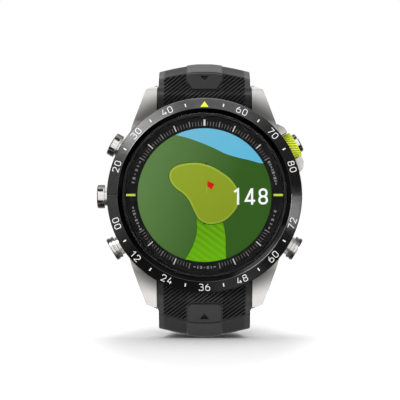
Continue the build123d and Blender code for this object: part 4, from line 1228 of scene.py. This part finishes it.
def sun(name, towards, strength, angle, only=(), but=(), through=()):
    """Soft light from a direction, as wide as the angle. It can reach only some pieces, or all but some,
    and pass through others."""
    data = bpy.data.lights.new(name, "SUN")
    data.energy, data.angle = strength, math.radians(angle)
    made = bpy.data.objects.new(name, data)
    made.rotation_mode = "QUATERNION"
    made.rotation_quaternion = Vector(towards).to_track_quat("Z", "Y")
    SCENE.collection.objects.link(made)
    if only or but:
        reached = linked(name + "_reaches", only or but, "INCLUDE" if only else "EXCLUDE")
        made.light_linking.receiver_collection = reached
    if through:
        made.light_linking.blocker_collection = linked(name + "_passes", through, "EXCLUDE")


# Soft boxes that only reflections see: direction, cosines of where they are full and gone, brightness.
BOXES = (
    ((0.0, 0.15, 0.98), 0.96, 0.80, 0.95),
    ((0.1, -0.53, 0.84), 0.97, 0.80, 0.55),
    ((0.6, -0.53, 0.6), 0.97, 0.85, 0.12),
    ((-0.498, -0.53, 0.686), 0.985, 0.95, 3.5),
    ((-0.640, -0.53, 0.556), 0.991, 0.987, 3.2),
    ((0.842, -0.53, -0.096), 0.992, 0.984, 5.2),
    ((0.31, -0.54, -0.78), 0.985, 0.93, 0.35),
    ((-0.9, -0.4, 0.05), 0.97, 0.8, 0.45),
    ((0.0, 1.0, 0.1), 0.75, 0.3, 0.8),
)
ROOM = 0.035
DOME = 0.80


def world():
    """White to the eye, an even dome for diffuse light, and soft boxes in a dark room for reflections."""
    made = bpy.data.worlds.new("studio")
    made.use_nodes = True
    g = Tree(made.node_tree)
    g.tree.nodes.clear()

    def background(strength):
        return g.node("Background", i0=(1, 1, 1, 1), i1=strength).outputs[0]

    way = g.node("TexCoord").outputs["Generated"]
    total = ROOM
    for towards, full, gone, power in BOXES:
        near_it = g.dot(way, Vector(towards).normalized())
        total = g.math("ADD", g.spread(near_it, gone, full, 0.0, power, "SMOOTHSTEP"), total)
    path = g.node("LightPath").outputs
    bent = g.math("MAXIMUM", path["Is Glossy Ray"], path["Is Transmission Ray"])
    unseen = g.node("MixShader", i0=bent, i1=background(DOME), i2=background(total)).outputs[0]
    final = g.node("MixShader", i0=path["Is Camera Ray"], i1=unseen, i2=background(1.0)).outputs[0]
    g.node("OutputWorld", i0=final)
    SCENE.world = made


floor = stage()
floor.visible_glossy = False
world()
CAPS = [name for look in ("cap", "start_cap", "pusher") for name in CAD_LOOKS[look].split()]
PUSHERS = ["down_pusher_turned", "back_pusher_turned", *CAPS]
CASE = ["mid_case", "start_sleeve_grip"]
STRAPS = ["strap_tail_half", "strap_buckle_half"]
ABOVE, BELOW, FLOOR = (0.0, 0.45, 1.0), (0.0, -0.15, -1.0), [floor.name]
sun("ceiling", ABOVE, 0.85, 65, but=PUSHERS + ["mid_case"])
sun("key_upper_left", (-0.6, -0.7, 0.6), 0.35, 30)
sun("front_fill", (0.0, -1.0, 0.0), 1.35, 80, only=PUSHERS + CASE, through=FLOOR)
sun("lug_tops", ABOVE, 0.4, 65, only=["mid_case"])
sun("lug_feet", BELOW, 0.5, 70, only=["mid_case"], through=FLOOR)
sun("under_fill", BELOW, 0.93, 70, only=CASE + STRAPS, through=FLOOR)
SCENE.view_settings.view_transform = "Standard"

camera = bpy.data.objects.new("camera", bpy.data.cameras.new("camera"))
camera.data.lens, camera.data.sensor_width = 176.8, 36.0
camera.data.clip_start, camera.data.clip_end = 0.01, 20.0
camera.location = (0, -0.4743, -0.0273)
aim = Vector((-0.00105, -0.0143, -0.00123)) - camera.location
camera.rotation_mode = "QUATERNION"
camera.rotation_quaternion = aim.to_track_quat("-Z", "Y")
SCENE.collection.objects.link(camera)
SCENE.camera = camera
